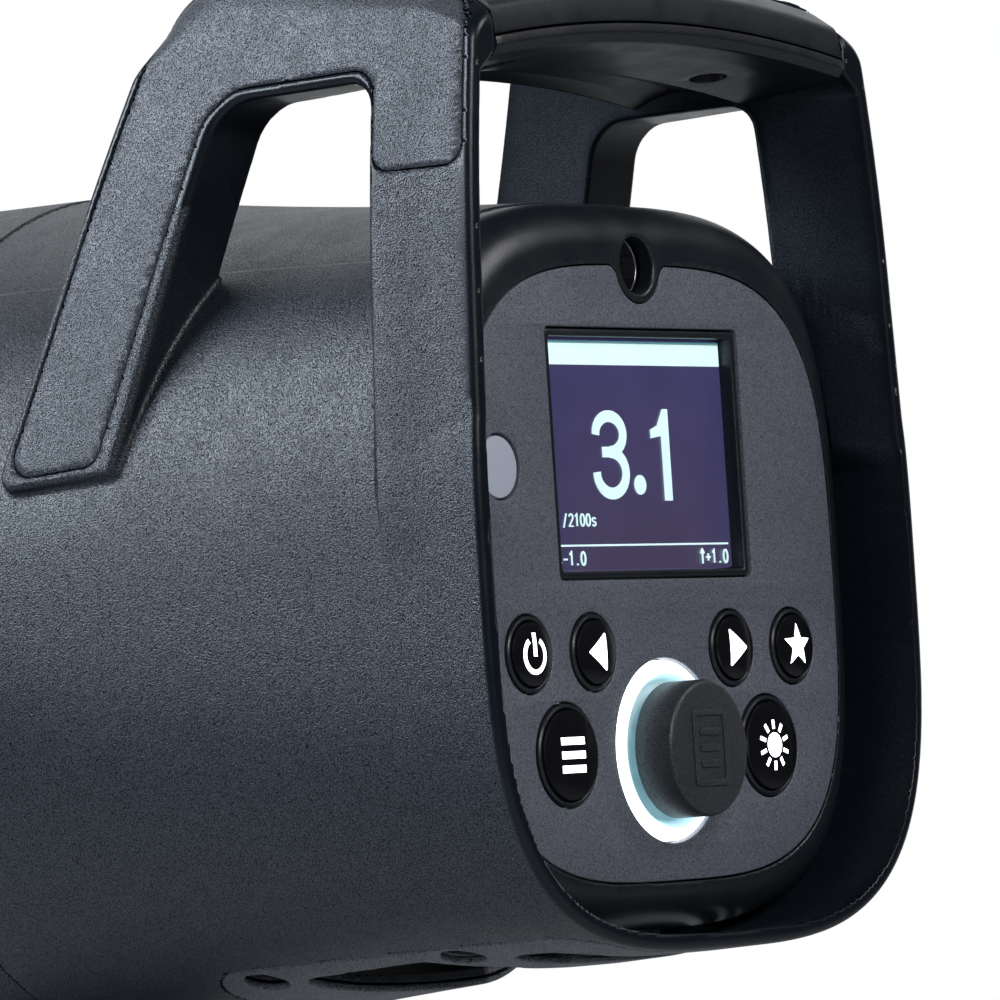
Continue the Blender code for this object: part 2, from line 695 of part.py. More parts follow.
def build_display():
    frame = head_prism(display_outline(0.0, 0.0008), 0.0004, 0.0060)
    frame = add_object("display_frame", frame, "black_gloss")
    opening = head_prism(display_outline(DISPLAY_RIM, 0.0006), -0.005, 0.010)
    cut(frame, "cut_frame", opening)
    pane = display_outline(DISPLAY_RIM + GAP, 0.0005)
    add_object("display_glass", head_prism(pane, 0.0014, 0.0024), "display_glass")
    add_object("display_module", head_prism(pane, 0.0027, 0.0060), "black_gloss")


def build_buttons():
    """Domed caps with a flange behind the panel, each on its own slide."""
    for name, (x, z, radius) in BUTTONS.items():
        face = -BUTTON_PROUD
        flange = radius + 0.0010
        profile = [(radius * 0.35, face), (radius * 0.75, face + 0.0003),
                   (radius * 0.97, face + 0.0011), (radius, face + 0.0018),
                   (radius, PANEL_T + GAP), (flange, PANEL_T + GAP), (flange, PANEL_T + 0.0014)]
        centre = head_point(x, 0, z)
        add_object(name, turned(profile, "y", centre, 16), "black_gloss", pivot=centre)


def build_selector():
    """Knob on its shaft, in a lit ring, over a rotary encoder."""
    centre = head_point(0, 0, KNOB_Z)
    ring = [(LIGHT_RING_R, 0.0006), (LIGHT_RING_R, 0.0050), (0.0050, 0.0050), (0.0050, 0.0020),
            (KNOB_R + 0.0004, 0.0014), (KNOB_R + 0.0014, -0.0004), (LIGHT_RING_R - 0.0010, -0.0004)]
    add_object("knob_light_ring", turned(ring, "y", centre, 28, closed_loop=True), "light_diffuser")
    pivot = add_empty("selector_axis", centre)
    knob = [(KNOB_R - 0.0008, -KNOB_PROUD), (KNOB_R, -KNOB_PROUD + 0.0008), (KNOB_R, -0.0007),
            (0.0092, -0.0007), (0.0092, -0.0060), (0.0033, -0.0060), (0.0033, -KNOB_PROUD + 0.0016)]
    add_object("selector_knob", turned(knob, "y", centre, 28), "knob_plastic", parent=pivot)
    add_object("selector_shaft", rod(0.0030, -KNOB_PROUD + 0.0019, 0.0068, "y", centre, 16),
               "steel", parent=pivot)
    body = head_box((-0.0065, 0.0075, KNOB_Z - 0.0065), (0.0065, 0.0104, KNOB_Z + 0.0065))
    add_object("rotary_encoder", body, "steel")


def build_control_board():
    board = head_prism(rounded_rect(0.040, 0.036, 0.004, (0, -0.002)), 0.0107, 0.0123)
    add_object("control_board", board, "circuit_board")


def build_umbrella_tube():
    centre = head_point(0, 0, UMBRELLA_Z)
    tube = pipe(UMBRELLA_R + UMBRELLA_WALL, UMBRELLA_R, UMBRELLA_TUBE_Y, PLATE_Y - GAP, "y",
                centre, 20)
    add_object("umbrella_tube", tube, "steel")


# ---- inside the head ----------------------------------------------------------------------
def build_chassis():
    plate = head_box((-CHASSIS_HALF_W, 0.0180, -0.0050), (CHASSIS_HALF_W, 0.1300, -0.0035))
    add_object("chassis_plate", plate, "aluminium")
    board = head_box((-BOARD_HALF_W, 0.0220, 0.0130), (BOARD_HALF_W, 0.1220, 0.0146))
    add_object("power_board", board, "circuit_board")
    for i, x in enumerate((-CAPACITOR_X, CAPACITOR_X)):
        can = rod(CAPACITOR_R, 0.0300, 0.0980, "y", head_point(x, 0, CAPACITOR_Z), 20)
        add_object(f"capacitor_{i + 1}", can, "capacitor_sleeve")
    core = head_box((0.016, 0.080, 0.0149), (0.038, 0.108, 0.0360))
    add_object("trigger_transformer", core, "cast_black")


def spun(bm, turn):
    """Turn a piece about the optical axis."""
    spin = Matrix.Rotation(turn, 3, "Y")
    bmesh.ops.rotate(bm, cent=head_point(0, 0, 0), matrix=spin, verts=bm.verts)
    return bm


def build_fan_frame(low, high):
    outline = rounded_rect(FAN_HALF, FAN_HALF, 0.003)
    frame = add_object("fan_frame", head_prism(outline, low, high), "knob_plastic")
    centre = head_point(0, 0, 0)
    duct = rod(FAN_HALF - 0.0015, low - 0.002, high - 0.002, "y", centre, 28)
    cut(frame, "cut_fan_duct", duct)
    vents = pipe(FAN_HALF - 0.004, 0.0150, high - 0.004, high + 0.002, "y", centre, 28)
    cut(frame, "cut_fan_vents", vents)
    for i in range(2):
        strut = head_box((-0.0275, high - 0.0018, -0.002), (0.0275, high, 0.002))
        spun(strut, math.pi / 2 * i)
        join(frame, f"join_fan_strut_{i}", strut)


def build_fan_rotor(low, high):
    pivot = head_point(0, 0.5 * (low + high), 0)
    hub = rod(0.0130, low + 0.001, high - 0.0023, "y", head_point(0, 0, 0), 20)
    hub = add_object("fan_rotor", hub, "knob_plastic", pivot=pivot)
    for i in range(FAN_BLADES):
        blade = head_box((0.0120, low + 0.0015, -0.0008), (FAN_HALF - 0.0027, high - 0.0030, 0.0008))
        twist = Matrix.Rotation(FAN_TWIST, 3, "X")
        bmesh.ops.rotate(blade, cent=pivot, matrix=twist, verts=blade.verts)
        spun(blade, 2 * math.pi * i / FAN_BLADES)
        join(hub, f"join_fan_blade_{i}", blade)


def build_heat_sink():
    base = head_box((-SINK_HALF, 0.1915, -SINK_HALF), (SINK_HALF, PLATE_Y - GAP, SINK_HALF))
    base = add_object("lamp_heat_sink", base, "aluminium")
    for i in range(SINK_FINS):
        x = SINK_PITCH * (i - SINK_FINS // 2)
        fin = head_box((x - 0.0008, 0.1690, -SINK_HALF), (x + 0.0008, 0.1920, SINK_HALF))
        join(base, f"join_fin_{i}", fin)


# ---- front end ----------------------------------------------------------------------------
def build_front_plate():
    centre = head_point(0, 0, 0)
    outer = HEAD_R - 0.003 - GAP
    plate = rod(outer, PLATE_Y, PLATE_Y + 0.003, "y", centre, SHELL_SEGMENTS)
    plate = add_object("front_plate", plate, "aluminium")
    bore = rod(UMBRELLA_R, PLATE_Y - 0.01, PLATE_Y + 0.01, "y", head_point(0, 0, UMBRELLA_Z), 20)
    cut(plate, "cut_plate_bore", bore)
    for i in range(VENT_COUNT):
        turn = 2 * math.pi * (i + 0.5) / VENT_COUNT
        if abs(turn - math.pi / 2) < 0.45:
            continue
        x = VENT_RING_R * math.cos(turn)
        z = VENT_RING_R * math.sin(turn)
        vent = rod(VENT_R, PLATE_Y - 0.01, PLATE_Y + 0.01, "y", head_point(x, 0, z), 8)
        cut(plate, f"cut_plate_vent_{i}", vent)


def build_bayonet():
    """A fixed ring with three bayonet slots, and the turning ring that locks a reflector."""
    centre = head_point(0, 0, 0)
    low = PLATE_Y + 0.003 + GAP
    profile = [(0.0640, low), (0.0640, NOSE_Y), (RING_BORE_R + 0.002, NOSE_Y),
               (RING_BORE_R, NOSE_Y - 0.002), (RING_BORE_R, low)]
    ring = turned(profile, "y", centre, SHELL_SEGMENTS, True)
    ring = add_object("bayonet_ring", ring, "aluminium")
    for i in range(3):
        turn = 2 * math.pi * i / 3 + math.pi / 2
        slot = head_box((-0.0060, NOSE_Y - 0.010, 0.050), (0.0060, NOSE_Y + 0.002, 0.0610))
        cut(ring, f"cut_bayonet_{i}", spun(slot, turn))
    low = PLATE_Y + 0.006 + GAP
    high = NOSE_Y - 0.006
    profile = [(0.0700, low), (0.0715, low + 0.001), (0.0715, high - 0.001), (0.0705, high),
               (0.0640 + GAP, high), (0.0640 + GAP, low)]
    ring = turned(profile, "y", centre, SHELL_SEGMENTS, True)
    add_object("locking_ring", ring, "bezel_plastic", pivot=centre)


def build_lamp():
    centre = head_point(0, 0, 0)
    low = PLATE_Y + 0.003 + GAP
    socket = pipe(0.0330, 0.0185, low, low + 0.0070, "y", centre, 28)
    add_object("lamp_socket", socket, "light_diffuser")
    add_object("modelling_lamp", rod(0.0150, low, low + 0.0030, "y", centre, 20), "lamp_phosphor")
    tube_points = []
    sweep = math.radians(300)
    for i in range(17):
        turn = math.pi / 2 + math.radians(30) + sweep * i / 16
        x = TUBE_RING_R * math.cos(turn)
        z = TUBE_RING_R * math.sin(turn)
        tube_points.append((x, low + 0.0130, z))
    add_object("flash_tube", tube_along(tube_points, 0.0040, low + 0.0070 + GAP), "clear_glass")
    inner = dome_skin(GLASS_R - GLASS_T, GLASS_CROWN - GLASS_T, low)
    profile = inner + dome_skin(GLASS_R, GLASS_CROWN, low)[::-1]
    add_object("glass_dome", turned(profile, "y", centre, 24), "clear_glass")


def dome_skin(radius, height, low, steps=4):
    """Half section of a glass bell, from the middle of its crown to its rim."""
    skin = [(0.0010, low + 0.0080 + height)]
    for i in range(steps - 1, -1, -1):
        turn = math.pi / 2 * i / steps
        skin.append((radius * math.cos(turn), low + 0.0080 + height * math.sin(turn)))
    skin.append((radius, low))
    return skin


def tube_along(points, radius, foot_y, segments=8):
    """A round tube along (x, y, z) points given from panel and axis, with two straight feet."""
    first = points[0]
    last = points[-1]
    route = [(first[0], foot_y, first[2])] + points + [(last[0], foot_y, last[2])]
    path = [head_point(*p) for p in route]
    rings = []
    for i, here in enumerate(path):
        before = path[max(i - 1, 0)]
        after = path[min(i + 1, len(path) - 1)]
        heading = (after - before).normalized()
        radial = here - head_point(0, 0, 0)
        radial.y = 0
        side = heading.cross(radial.normalized()).normalized()
        lift = side.cross(heading).normalized()
        turns = [2 * math.pi * k / segments for k in range(segments)]
        rings.append([here + (side * math.cos(t) + lift * math.sin(t)) * radius for t in turns])
    return loft(rings)


# ---- connectors on the right-hand side ----------------------------------------------------
def build_inlet(plate):
    """Three-pin mains inlet."""
    low = INLET_Y - 0.0139
    high = INLET_Y + 0.0139
    hole = head_box((0.060, low - GAP, -0.0108), (0.070, high + GAP, 0.0108))
    cut(plate, "cut_inlet_hole", hole)
    inlet = head_box((0.0480, low, -0.0105), (0.0665, high, 0.0105))
    inlet = add_object("mains_inlet", inlet, "knob_plastic")
    well = side_prism(rounded_rect(0.0118, 0.0082, 0.002, (INLET_Y, 0.0)), 0.0500, 0.070)
    cut(inlet, "cut_inlet_well", well)
    for i, (y, z) in enumerate(((-0.0070, -0.002), (0.0, 0.002), (0.0070, -0.002))):
        y += INLET_Y
        pin = head_box((0.0490, y - 0.0010, z - 0.0020), (0.0640, y + 0.0010, z + 0.0020))
        join(inlet, f"join_inlet_pin_{i}", pin)


def build_sync_socket(plate):
    centre = head_point(0, SYNC_Y, SYNC_Z)
    hole = rod(SYNC_R + GAP, 0.060, 0.070, "x", centre, 16)
    cut(plate, "cut_sync_socket", hole)
    sync = add_object("sync_socket", rod(SYNC_R, 0.0540, 0.0665, "x", centre, 16), "knob_plastic")
    bore = rod(0.0018, 0.0560, 0.070, "x", centre, 10)
    cut(sync, "cut_sync_bore", bore)


def usb_box(low_x, high_x, half_y, half_z):
    low = (low_x, USB_Y - half_y, USB_Z - half_z)
    return head_box(low, (high_x, USB_Y + half_y, USB_Z + half_z))


def build_usb_port(plate):
    hole = usb_box(0.060, 0.070, 0.0075 + GAP, 0.0035 + GAP)
    cut(plate, "cut_usb", hole)
    usb = add_object("usb_port", usb_box(0.0520, 0.0660, 0.0075, 0.0035), "steel")
    mouth = usb_box(0.0540, 0.070, 0.0067, 0.0026)
    cut(usb, "cut_usb_mouth", mouth)


def build_connectors():
    plate = head_box((0.0640, 0.1280, -0.0170), (0.0655, 0.1920, 0.0170))
    plate = add_object("connector_plate", plate, "cast_black")
    build_inlet(plate)
    build_sync_socket(plate)
    build_usb_port(plate)


# ---- tilt bracket -------------------------------------------------------------------------
def build_tilt_base(pivot):
    """A saddle under the front shell with two lugs for the tilt bolt."""
    lug_low = TONGUE_HALF + 2 * GAP + DISC_T
    lug_high = lug_low + LUG_T
    saddle = head_box((-0.0240, PIVOT_Y - 0.0165, -0.0765), (0.0240, PIVOT_Y + 0.0165, -0.0640))
    saddle = add_object("tilt_base", saddle, "cast_black")
    belly = rod(HEAD_R + GAP, 0.09, 0.16, "y", head_point(0, 0, 0), SHELL_SEGMENTS)
    cut(saddle, "cut_saddle", belly)
    for side, label in ((-1, "left"), (1, "right")):
        low, high = sorted((side * lug_low, side * lug_high))
        ear = head_box((low, PIVOT_Y - LUG_R, PIVOT_Z), (high, PIVOT_Y + LUG_R, -0.0750))
        join(saddle, f"join_ear_{label}", ear)
        round_end = rod(LUG_R, low, high, "x", pivot, 24)
        join(saddle, f"join_lug_{label}", round_end)
    bore = rod(BOLT_R + GAP, -0.03, 0.03, "x", pivot, 16)
    cut(saddle, "cut_lug_bore", bore)


def build_stand_bracket(pivot):
    """The fixed part: a tongue between the lugs, over a receiver for a 16 mm spigot."""
    tongue = rod(LUG_R, -TONGUE_HALF, TONGUE_HALF, "x", pivot, 24)
    tongue = add_object("stand_bracket", tongue, "cast_black")
    neck = head_box((-TONGUE_HALF, PIVOT_Y - RECEIVER_HALF_Y, -0.1100),
                    (TONGUE_HALF, PIVOT_Y + RECEIVER_HALF_Y, PIVOT_Z))
    join(tongue, "join_neck", neck)
    outline = rounded_rect(RECEIVER_HALF_X, RECEIVER_HALF_Y, 0.0060, (0, 0))
    top = AXIS_Z + RECEIVER_TOP_Z
    rings = [[Vector((x, y, z)) for x, y in outline] for z in (0.0, top)]
    join(tongue, "join_receiver", loft(rings))
    socket = rod(SOCKET_R, -0.010, SOCKET_DEPTH, "z", (0, 0, 0), 24)
    cut(tongue, "cut_socket", socket)
    bore = rod(BOLT_R + GAP, -0.03, 0.03, "x", pivot, 16)
    cut(tongue, "cut_tongue_bore", bore)
    clamp_bore = rod(CLAMP_R + GAP, 0.004, 0.020, "x", (0, 0, CLAMP_Z), 16)
    cut(tongue, "cut_clamp_bore", clamp_bore)


def build_tilt_hardware(pivot):
    inner = TONGUE_HALF + GAP
    for side, label in ((-1, "left"), (1, "right")):
        low, high = sorted((side * inner, side * (inner + DISC_T)))
        disc = pipe(LUG_R - 0.0010, BOLT_R + GAP, low, high, "x", pivot, 20)
        add_object(f"friction_disc_{label}", disc, "friction_pad")
    lug_face = TONGUE_HALF + 2 * GAP + DISC_T + LUG_T
    bolt = turned([(BOLT_R, -lug_face - 0.0110), (BOLT_R, lug_face + GAP), (0.0075, lug_face + GAP),
                   (0.0075, lug_face + 0.0050)], "x", pivot, 16)
    add_object("tilt_bolt", bolt, "steel")
    lever_axis = add_empty("tilt_lever_axis", pivot)
    hub = rod(LEVER_HUB_R, -lug_face - 0.0130, -lug_face - GAP, "x", pivot, 20)
    lever = add_object("tilt_lever", hub, "bezel_plastic", parent=lever_axis)
    blade = [(0.0, 0.0068), (-0.0460, 0.0045), (-0.0500, 0.0), (-0.0460, -0.0045), (0.0, -0.0068)]
    outline = [(PIVOT_Y + y, PIVOT_Z + z) for y, z in blade]
    arm = side_prism(outline, -lug_face - 0.0120, -lug_face - 0.0030)
    join(lever, "join_lever_arm", arm)
    socket = rod(BOLT_R + GAP, -lug_face - 0.0113, -lug_face + 0.005, "x", pivot, 16)
    cut(lever, "cut_lever_bore", socket)


def build_stand_clamp():
    """A screw with a lobed knob that grips the stand's spigot."""
    centre = Vector((0, 0, CLAMP_Z))
    screw = rod(CLAMP_R, SOCKET_R + 0.0006, RECEIVER_HALF_X + 0.0050, "x", centre, 16)
    add_object("stand_clamp_screw", screw, "brass", pivot=centre)
    outline = []
    for i in range(36):
        turn = 2 * math.pi * i / 36
        radius = CLAMP_KNOB_R + CLAMP_LOBE_H * math.cos(CLAMP_LOBES * turn)
        outline.append((radius * math.cos(turn), radius * math.sin(turn)))
    low = RECEIVER_HALF_X + 0.0010
    ends = (low, low + CLAMP_KNOB_L)
    rings = [[centre + Vector((x, a, b)) for a, b in outline] for x in ends]
    knob = add_object("stand_clamp_knob", loft(rings), "bezel_plastic", pivot=centre)
    socket = rod(CLAMP_R + GAP, low - 0.002, RECEIVER_HALF_X + 0.0053, "x", centre, 16)
    cut(knob, "cut_clamp_knob", socket)


def main():
    clear_scene()
    shell = build_body_shell()
    build_front_shell()
    build_rear_bezel()
    for side, label in ((-1, "left"), (1, "right")):
        build_handle(side, label)
    build_grip()
    build_base_shoe(shell)
    build_control_panel()
    build_display()
    build_buttons()
    build_selector()
    build_control_board()
    build_umbrella_tube()
    build_chassis()
    build_fan_frame(FAN_Y, FAN_Y + FAN_T)
    build_fan_rotor(FAN_Y, FAN_Y + FAN_T)
    build_heat_sink()
    build_front_plate()
    build_bayonet()
    build_lamp()
    build_connectors()
    pivot = head_point(0, PIVOT_Y, PIVOT_Z)
    build_tilt_base(pivot)
    build_stand_bracket(pivot)
    build_tilt_hardware(pivot)
    build_stand_clamp()


main()
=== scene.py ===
"""Looks of the monolight strobe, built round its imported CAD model.

Row frame, metres: +Y is the way the light shines, the control panel faces -Y, +Z is up. Shapes on
the head are worked out in head coordinates: x, y from the control panel's plane, z from the
optical axis. Large moulded skins are distance fields turned into meshes, the rest is lofted,
turned or cut from outlines.
"""
import math

import bmesh
import bpy
import numpy as np
from mathutils import Matrix, Vector


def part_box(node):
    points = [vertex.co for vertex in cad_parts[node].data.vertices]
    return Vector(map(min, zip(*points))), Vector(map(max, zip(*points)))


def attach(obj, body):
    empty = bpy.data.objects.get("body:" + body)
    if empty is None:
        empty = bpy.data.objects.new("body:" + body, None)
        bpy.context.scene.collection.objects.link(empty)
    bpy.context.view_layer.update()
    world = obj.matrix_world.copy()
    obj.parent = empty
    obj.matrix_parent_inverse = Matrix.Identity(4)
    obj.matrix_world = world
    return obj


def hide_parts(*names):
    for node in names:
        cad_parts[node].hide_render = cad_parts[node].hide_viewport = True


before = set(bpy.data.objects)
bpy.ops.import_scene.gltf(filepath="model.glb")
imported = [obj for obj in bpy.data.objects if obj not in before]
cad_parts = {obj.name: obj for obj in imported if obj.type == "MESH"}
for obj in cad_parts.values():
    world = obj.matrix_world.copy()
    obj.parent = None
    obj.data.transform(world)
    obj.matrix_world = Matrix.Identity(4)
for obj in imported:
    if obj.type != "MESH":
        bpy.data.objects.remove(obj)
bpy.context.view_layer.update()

# ---- places taken from the frame ----------------------------------------------------------
PANEL_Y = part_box("control_panel")[0].y
FRONT_LOW, FRONT_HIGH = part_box("front_shell")
AXIS_Z = (FRONT_LOW.z + FRONT_HIGH.z) / 2
HEAD_R = (FRONT_HIGH.x - FRONT_LOW.x) / 2
NOSE_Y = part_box("bayonet_ring")[1].y - PANEL_Y
PLATE_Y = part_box("front_plate")[0].y - PANEL_Y
PIVOT = (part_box("friction_disc_left")[0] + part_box("friction_disc_right")[1]) / 2
PIVOT_Y, PIVOT_Z = PIVOT.y - PANEL_Y, PIVOT.z - AXIS_Z
CLAMP_Z = (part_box("stand_clamp_screw")[0].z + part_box("stand_clamp_screw")[1].z) / 2

# ---- driving dimensions -------------------------------------------------------------------
GAP = 0.0003                # clearance between neighbouring pieces
AXIS_R = 1e-5               # how close a turned profile comes to its axis
WALL = 0.0028
LIP_WALL = 0.0026
LIP_Y = -0.0102
SEAM_Y = FRONT_LOW.y - PANEL_Y - GAP
SHOULDER_Y = 0.0096
HOOD_TOP_Z = 0.0200
CROWN_SIDE_W = 0.0500       # beyond this half-width the hood's top runs on under the handles
CROWN_OVERLAP = 0.0014
ROOF_HALF_W = 0.0480        # parting line between the roof and the side mouldings
ROOF_STEP = 0.00025
REAR_HALF_W = 0.0620
REAR_HALF_H = 0.0608
REAR_POWER = 3.3

BEZEL_HALF_W = 0.0586
BEZEL_HALF_H = 0.0592
BEZEL_Z = 0.0019
BEZEL_POWER = 3.4
BEZEL_EDGE = 0.0075
PANEL_HALF_W = 0.0514
PANEL_HALF_H = 0.0500
PANEL_Z = 0.0005
PANEL_POWER = 3.5
PANEL_T = 0.0024
PANEL_LEDGE = 0.0035        # width of the bezel's ledge that the panel rests on
UMBRELLA_Z = 0.0507
UMBRELLA_R = 0.0046
UMBRELLA_WALL = 0.0008
TUBE_END_Y = 0.0036         # where the umbrella tube starts behind the bezel's face
NOTCH_R = 0.0064
NOTCH_FILLET = 0.0024

DISPLAY_HALF_W = 0.0274
DISPLAY_HALF_H = 0.02045
DISPLAY_Z = 0.01995
DISPLAY_RIM = 0.0012
SCREEN_LEFT, SCREEN_RIGHT = -0.0250, 0.0252
CELL = (-0.0419, 0.0178, 0.0051)    # light sensor: x, z, radius
BUTTON_ROW_Z = -0.0121
KNOB_Z = -0.0284
KNOB_R = 0.0111
KNOB_PROUD = 0.0083
RING_R = 0.0147
BUTTONS = {
    "power_button": (-0.0375, BUTTON_ROW_Z, 0.0062),
    "previous_button": (-0.0197, BUTTON_ROW_Z, 0.0062),
    "next_button": (0.0197, BUTTON_ROW_Z, 0.0062),
    "favourite_button": (0.0375, BUTTON_ROW_Z, 0.0062),
    "menu_button": (-0.0287, KNOB_Z, 0.0083),
    "lamp_button": (0.0287, KNOB_Z, 0.0083),
}

HANDLE_CORNERS = (          # side view (y, z, corner radius) of the handle, window included
    (0.0808, 0.0196, 0.0025), (0.0517, 0.0960, 0.012), (0.0410, 0.1032, 0.006),
    (-0.0035, 0.0960, 0.010), (LIP_Y, 0.0885, 0.006), (LIP_Y, -0.0040, 0),
    (0.0092, -0.0040, 0), (0.0092, 0.0796, 0.004), (0.0345, 0.0790, 0.008),
    (0.0392, 0.0759, 0.008), (0.0580, 0.0209, 0.0015),
)
HANDLE_TOP_Z = 0.1040       # just above the outline's highest corner
COVER_INSET = 0.0021
COVER_T = 0.0016
COVER_END_Z = 0.0650
HANDLE_EDGE = 0.0014        # rounding of the handle's rims
HANDLE_CROWN = 0.0085       # rounding along its top
HANDLE_HALF_W = 0.0621      # at the lip, low down
HANDLE_LEAN = 0.055         # how the outer face leans in with height
HANDLE_CURL = 1.6           # and bends in near the top
HANDLE_FLARE = 0.0987       # how it widens to the front
FLARE_LOSS = 0.82           # less with height
RIDGE = 0.00035             # how far the rear leg's front edge stands proud as it fades out
GRIP_END = 0.0498
GRIP_ARCH = 0.0040
GRIP_SCREWS = (("left", -0.0300), ("right", 0.0300))
GRIP_SCREW_Y = 0.0040
PART_Z = 0.0889             # parting line of the grip's two halves

SHOE_CORNER = 0.0090
SHOE_T = 0.0012
SHOE_SEAT = 0.0015
SHOE_HALF_W = 0.0380
SHOE_REAR_Y = -0.0080
SHOE_FRONT_Y = 0.0702
SHOE_SCREWS = ((-0.0330, 0.0200), (0.0330, 0.0200), (-0.0325, 0.0603), (0.0325, 0.0603))
SCREW_WELL_R = 0.0036
POCKETS = (                 # right half of each air pocket's outline: (x, y, corner radius)
    ((0.0220, 0.0190, 0.006), (0.0330, 0.0275, 0.004), (0.0315, 0.0547, 0.003),
     (0.0130, 0.0490, 0.008)),
    ((0.0240, 0.0005, 0.003), (0.0300, 0.0045, 0.003), (0.0305, 0.0135, 0.003),
     (0.0130, 0.0110, 0.008)),
)
REAR_POCKET_DEPTH = 0.0022

# ---- connectors, lens end and bracket -----------------------------------------------------
BAY_Y = 0.1600
INLET_Y = 0.1460
SMALL_SOCKETS_Y = 0.1740
SYNC_Z = -0.0090
SYNC_R = 0.0042
USB_Z = 0.0060
PLATE_T = 0.0030
PLATE_VENTS = 10
BAYONET_R = 0.0640
BAYONET_BORE = 0.0560
BAYONET_SLOTS = 3
LOCK_R = 0.0715
LOCK_BORE = 0.0643
LOCK_RIBS = 60
LOCK_RIB_DEPTH = 0.0008
FLASH_RING_R = 0.0250       # the flash tube's ring, and its glass
FLASH_TUBE_R = 0.0038
SOCKET_T = 0.0070           # thickness of the lamp socket
TONGUE_HALF = 0.0090
DISC_T = 0.0012
LUG_T = 0.0060
LUG_R = 0.0120
BOLT_R = 0.0040
LUG_FACE = TONGUE_HALF + 2 * GAP + DISC_T + LUG_T
SPIGOT_R = 0.0082
CLAMP_R = 0.0040

FLOOR_Z = -0.2000           # low enough for the head to tilt both ways on its bracket
BACKDROP = (0.78, 0.62, 0.05)       # the side that the white backdrop lights the object from


# ---- small tools --------------------------------------------------------------------------
def head(x, y, z):
    return Vector((x, PANEL_Y + y, AXIS_Z + z))


def finish_piece(obj, material, body, nodes=()):
    """Give a piece its finish and its body, and hide the CAD nodes that it stands for."""
    obj.data.materials.clear()
    obj.data.materials.append(material)
    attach(obj, body)
    if nodes:
        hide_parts(*nodes)
    return obj


def object_from_bmesh(name, bm, smooth_angle=40):
    bmesh.ops.recalc_face_normals(bm, faces=bm.faces)
    mesh = bpy.data.meshes.new(name)
    bm.to_mesh(mesh)
    bm.free()
    mesh.shade_smooth()
    mesh.set_sharp_from_angle(angle=math.radians(smooth_angle))
    obj = bpy.data.objects.new(name, mesh)
    bpy.context.scene.collection.objects.link(obj)
    return obj


def bake_modifiers(obj, smooth_angle=40):
    """Replace an object's mesh with what its modifiers make of it."""
    bpy.context.view_layer.update()
    graph = bpy.context.evaluated_depsgraph_get()
    mesh = bpy.data.meshes.new_from_object(obj.evaluated_get(graph))
    obj.modifiers.clear()
    obj.data = mesh
    mesh.shade_smooth()
    mesh.set_sharp_from_angle(angle=math.radians(smooth_angle))
    return obj


def bevel(obj, width, segments=3, angle=35):
    mod = obj.modifiers.new("bevel", "BEVEL")
    mod.width = width
    mod.segments = segments
    mod.limit_method = "ANGLE"
    mod.angle_limit = math.radians(angle)
    mod.harden_normals = False
    return bake_modifiers(obj)


def cut(target, *cutters, operation="DIFFERENCE"):
    """Boolean with helper objects, which are then removed."""
    for cutter in cutters:
        mod = target.modifiers.new("cut", "BOOLEAN")
        mod.operation = operation
        mod.solver = "EXACT"
        mod.object = cutter
    bake_modifiers(target)
    for cutter in cutters:
        bpy.data.objects.remove(cutter, do_unlink=True)
    return target


def loft(rings, closed_loop=False):
    bm = bmesh.new()
    loops = [[bm.verts.new(p) for p in ring] for ring in rings]
    pairs = list(zip(loops, loops[1:]))
    if closed_loop:
        pairs.append((loops[-1], loops[0]))
    for low, high in pairs:
        for i in range(len(low)):
            bm.faces.new((low[i - 1], low[i], high[i], high[i - 1]))
    if not closed_loop:
        bm.faces.new(loops[0])
        bm.faces.new(loops[-1])
    return bm


def turned(profile, axis, centre, segments=96, closed_loop=False):
    """Revolve (radius, distance along the axis) points about a row axis through the centre."""
    along = Vector((axis == "x", axis == "y", axis == "z"))
    side = Vector((0, 0, 1)) if axis != "z" else Vector((1, 0, 0))
    up = along.cross(side)
    rings = []
    for radius, distance in profile:
        turns = [2 * math.pi * i / segments for i in range(segments)]
        rings.append([Vector(centre) + along * distance
                      + (side * math.cos(t) + up * math.sin(t)) * radius for t in turns])
    return loft(rings, closed_loop)


def spun(name, profile, axis, centre, segments=96, closed_loop=False):
    """A turned piece as an object."""
    return object_from_bmesh(name, turned(profile, axis, centre, segments, closed_loop))


def arcs(corners, steps=5, closed=True):
    """Outline through (u, v, radius) corners, each rounded by an arc of its radius."""
    points = []
    for i, (u, v, radius) in enumerate(corners):
        here = Vector((u, v))
        is_end = not closed and i in (0, len(corners) - 1)
        if radius <= 0 or is_end:
            points.append((u, v))
            continue
        before = (Vector(corners[i - 1][:2]) - here).normalized()
        after = (Vector(corners[(i + 1) % len(corners)][:2]) - here).normalized()
        half_angle = before.angle(after) / 2
        centre = here + (before + after).normalized() * (radius / math.sin(half_angle))
        start = here + before * (radius / math.tan(half_angle)) - centre
        end = here + after * (radius / math.tan(half_angle)) - centre
        sweep = start.angle_signed(end)
        for k in range(steps + 1):
            spoke = start.copy()
            spoke.rotate(Matrix.Rotation(-sweep * k / steps, 2))
            points.append(tuple(centre + spoke))
    return points


def rounded_box_outline(half_u, half_v, radius, centre=(0.0, 0.0), steps=5):
    u, v = centre
    corners = [(u + half_u, v - half_v, radius), (u + half_u, v + half_v, radius),
               (u - half_u, v + half_v, radius), (u - half_u, v - half_v, radius)]
    return arcs(corners, steps)


def circle(radius, centre=(0.0, 0.0), count=64):
    turns = [2 * math.pi * i / count for i in range(count)]
    return [(centre[0] + radius * math.cos(t), centre[1] + radius * math.sin(t)) for t in turns]


FACING_REAR = Matrix(((1, 0, 0), (0, 0, -1), (0, 1, 0))).to_4x4()
FACING_SIDE = Matrix(((0, 0, 1), (1, 0, 0), (0, 1, 0))).to_4x4()
FACING_UP = Matrix.Identity(4)


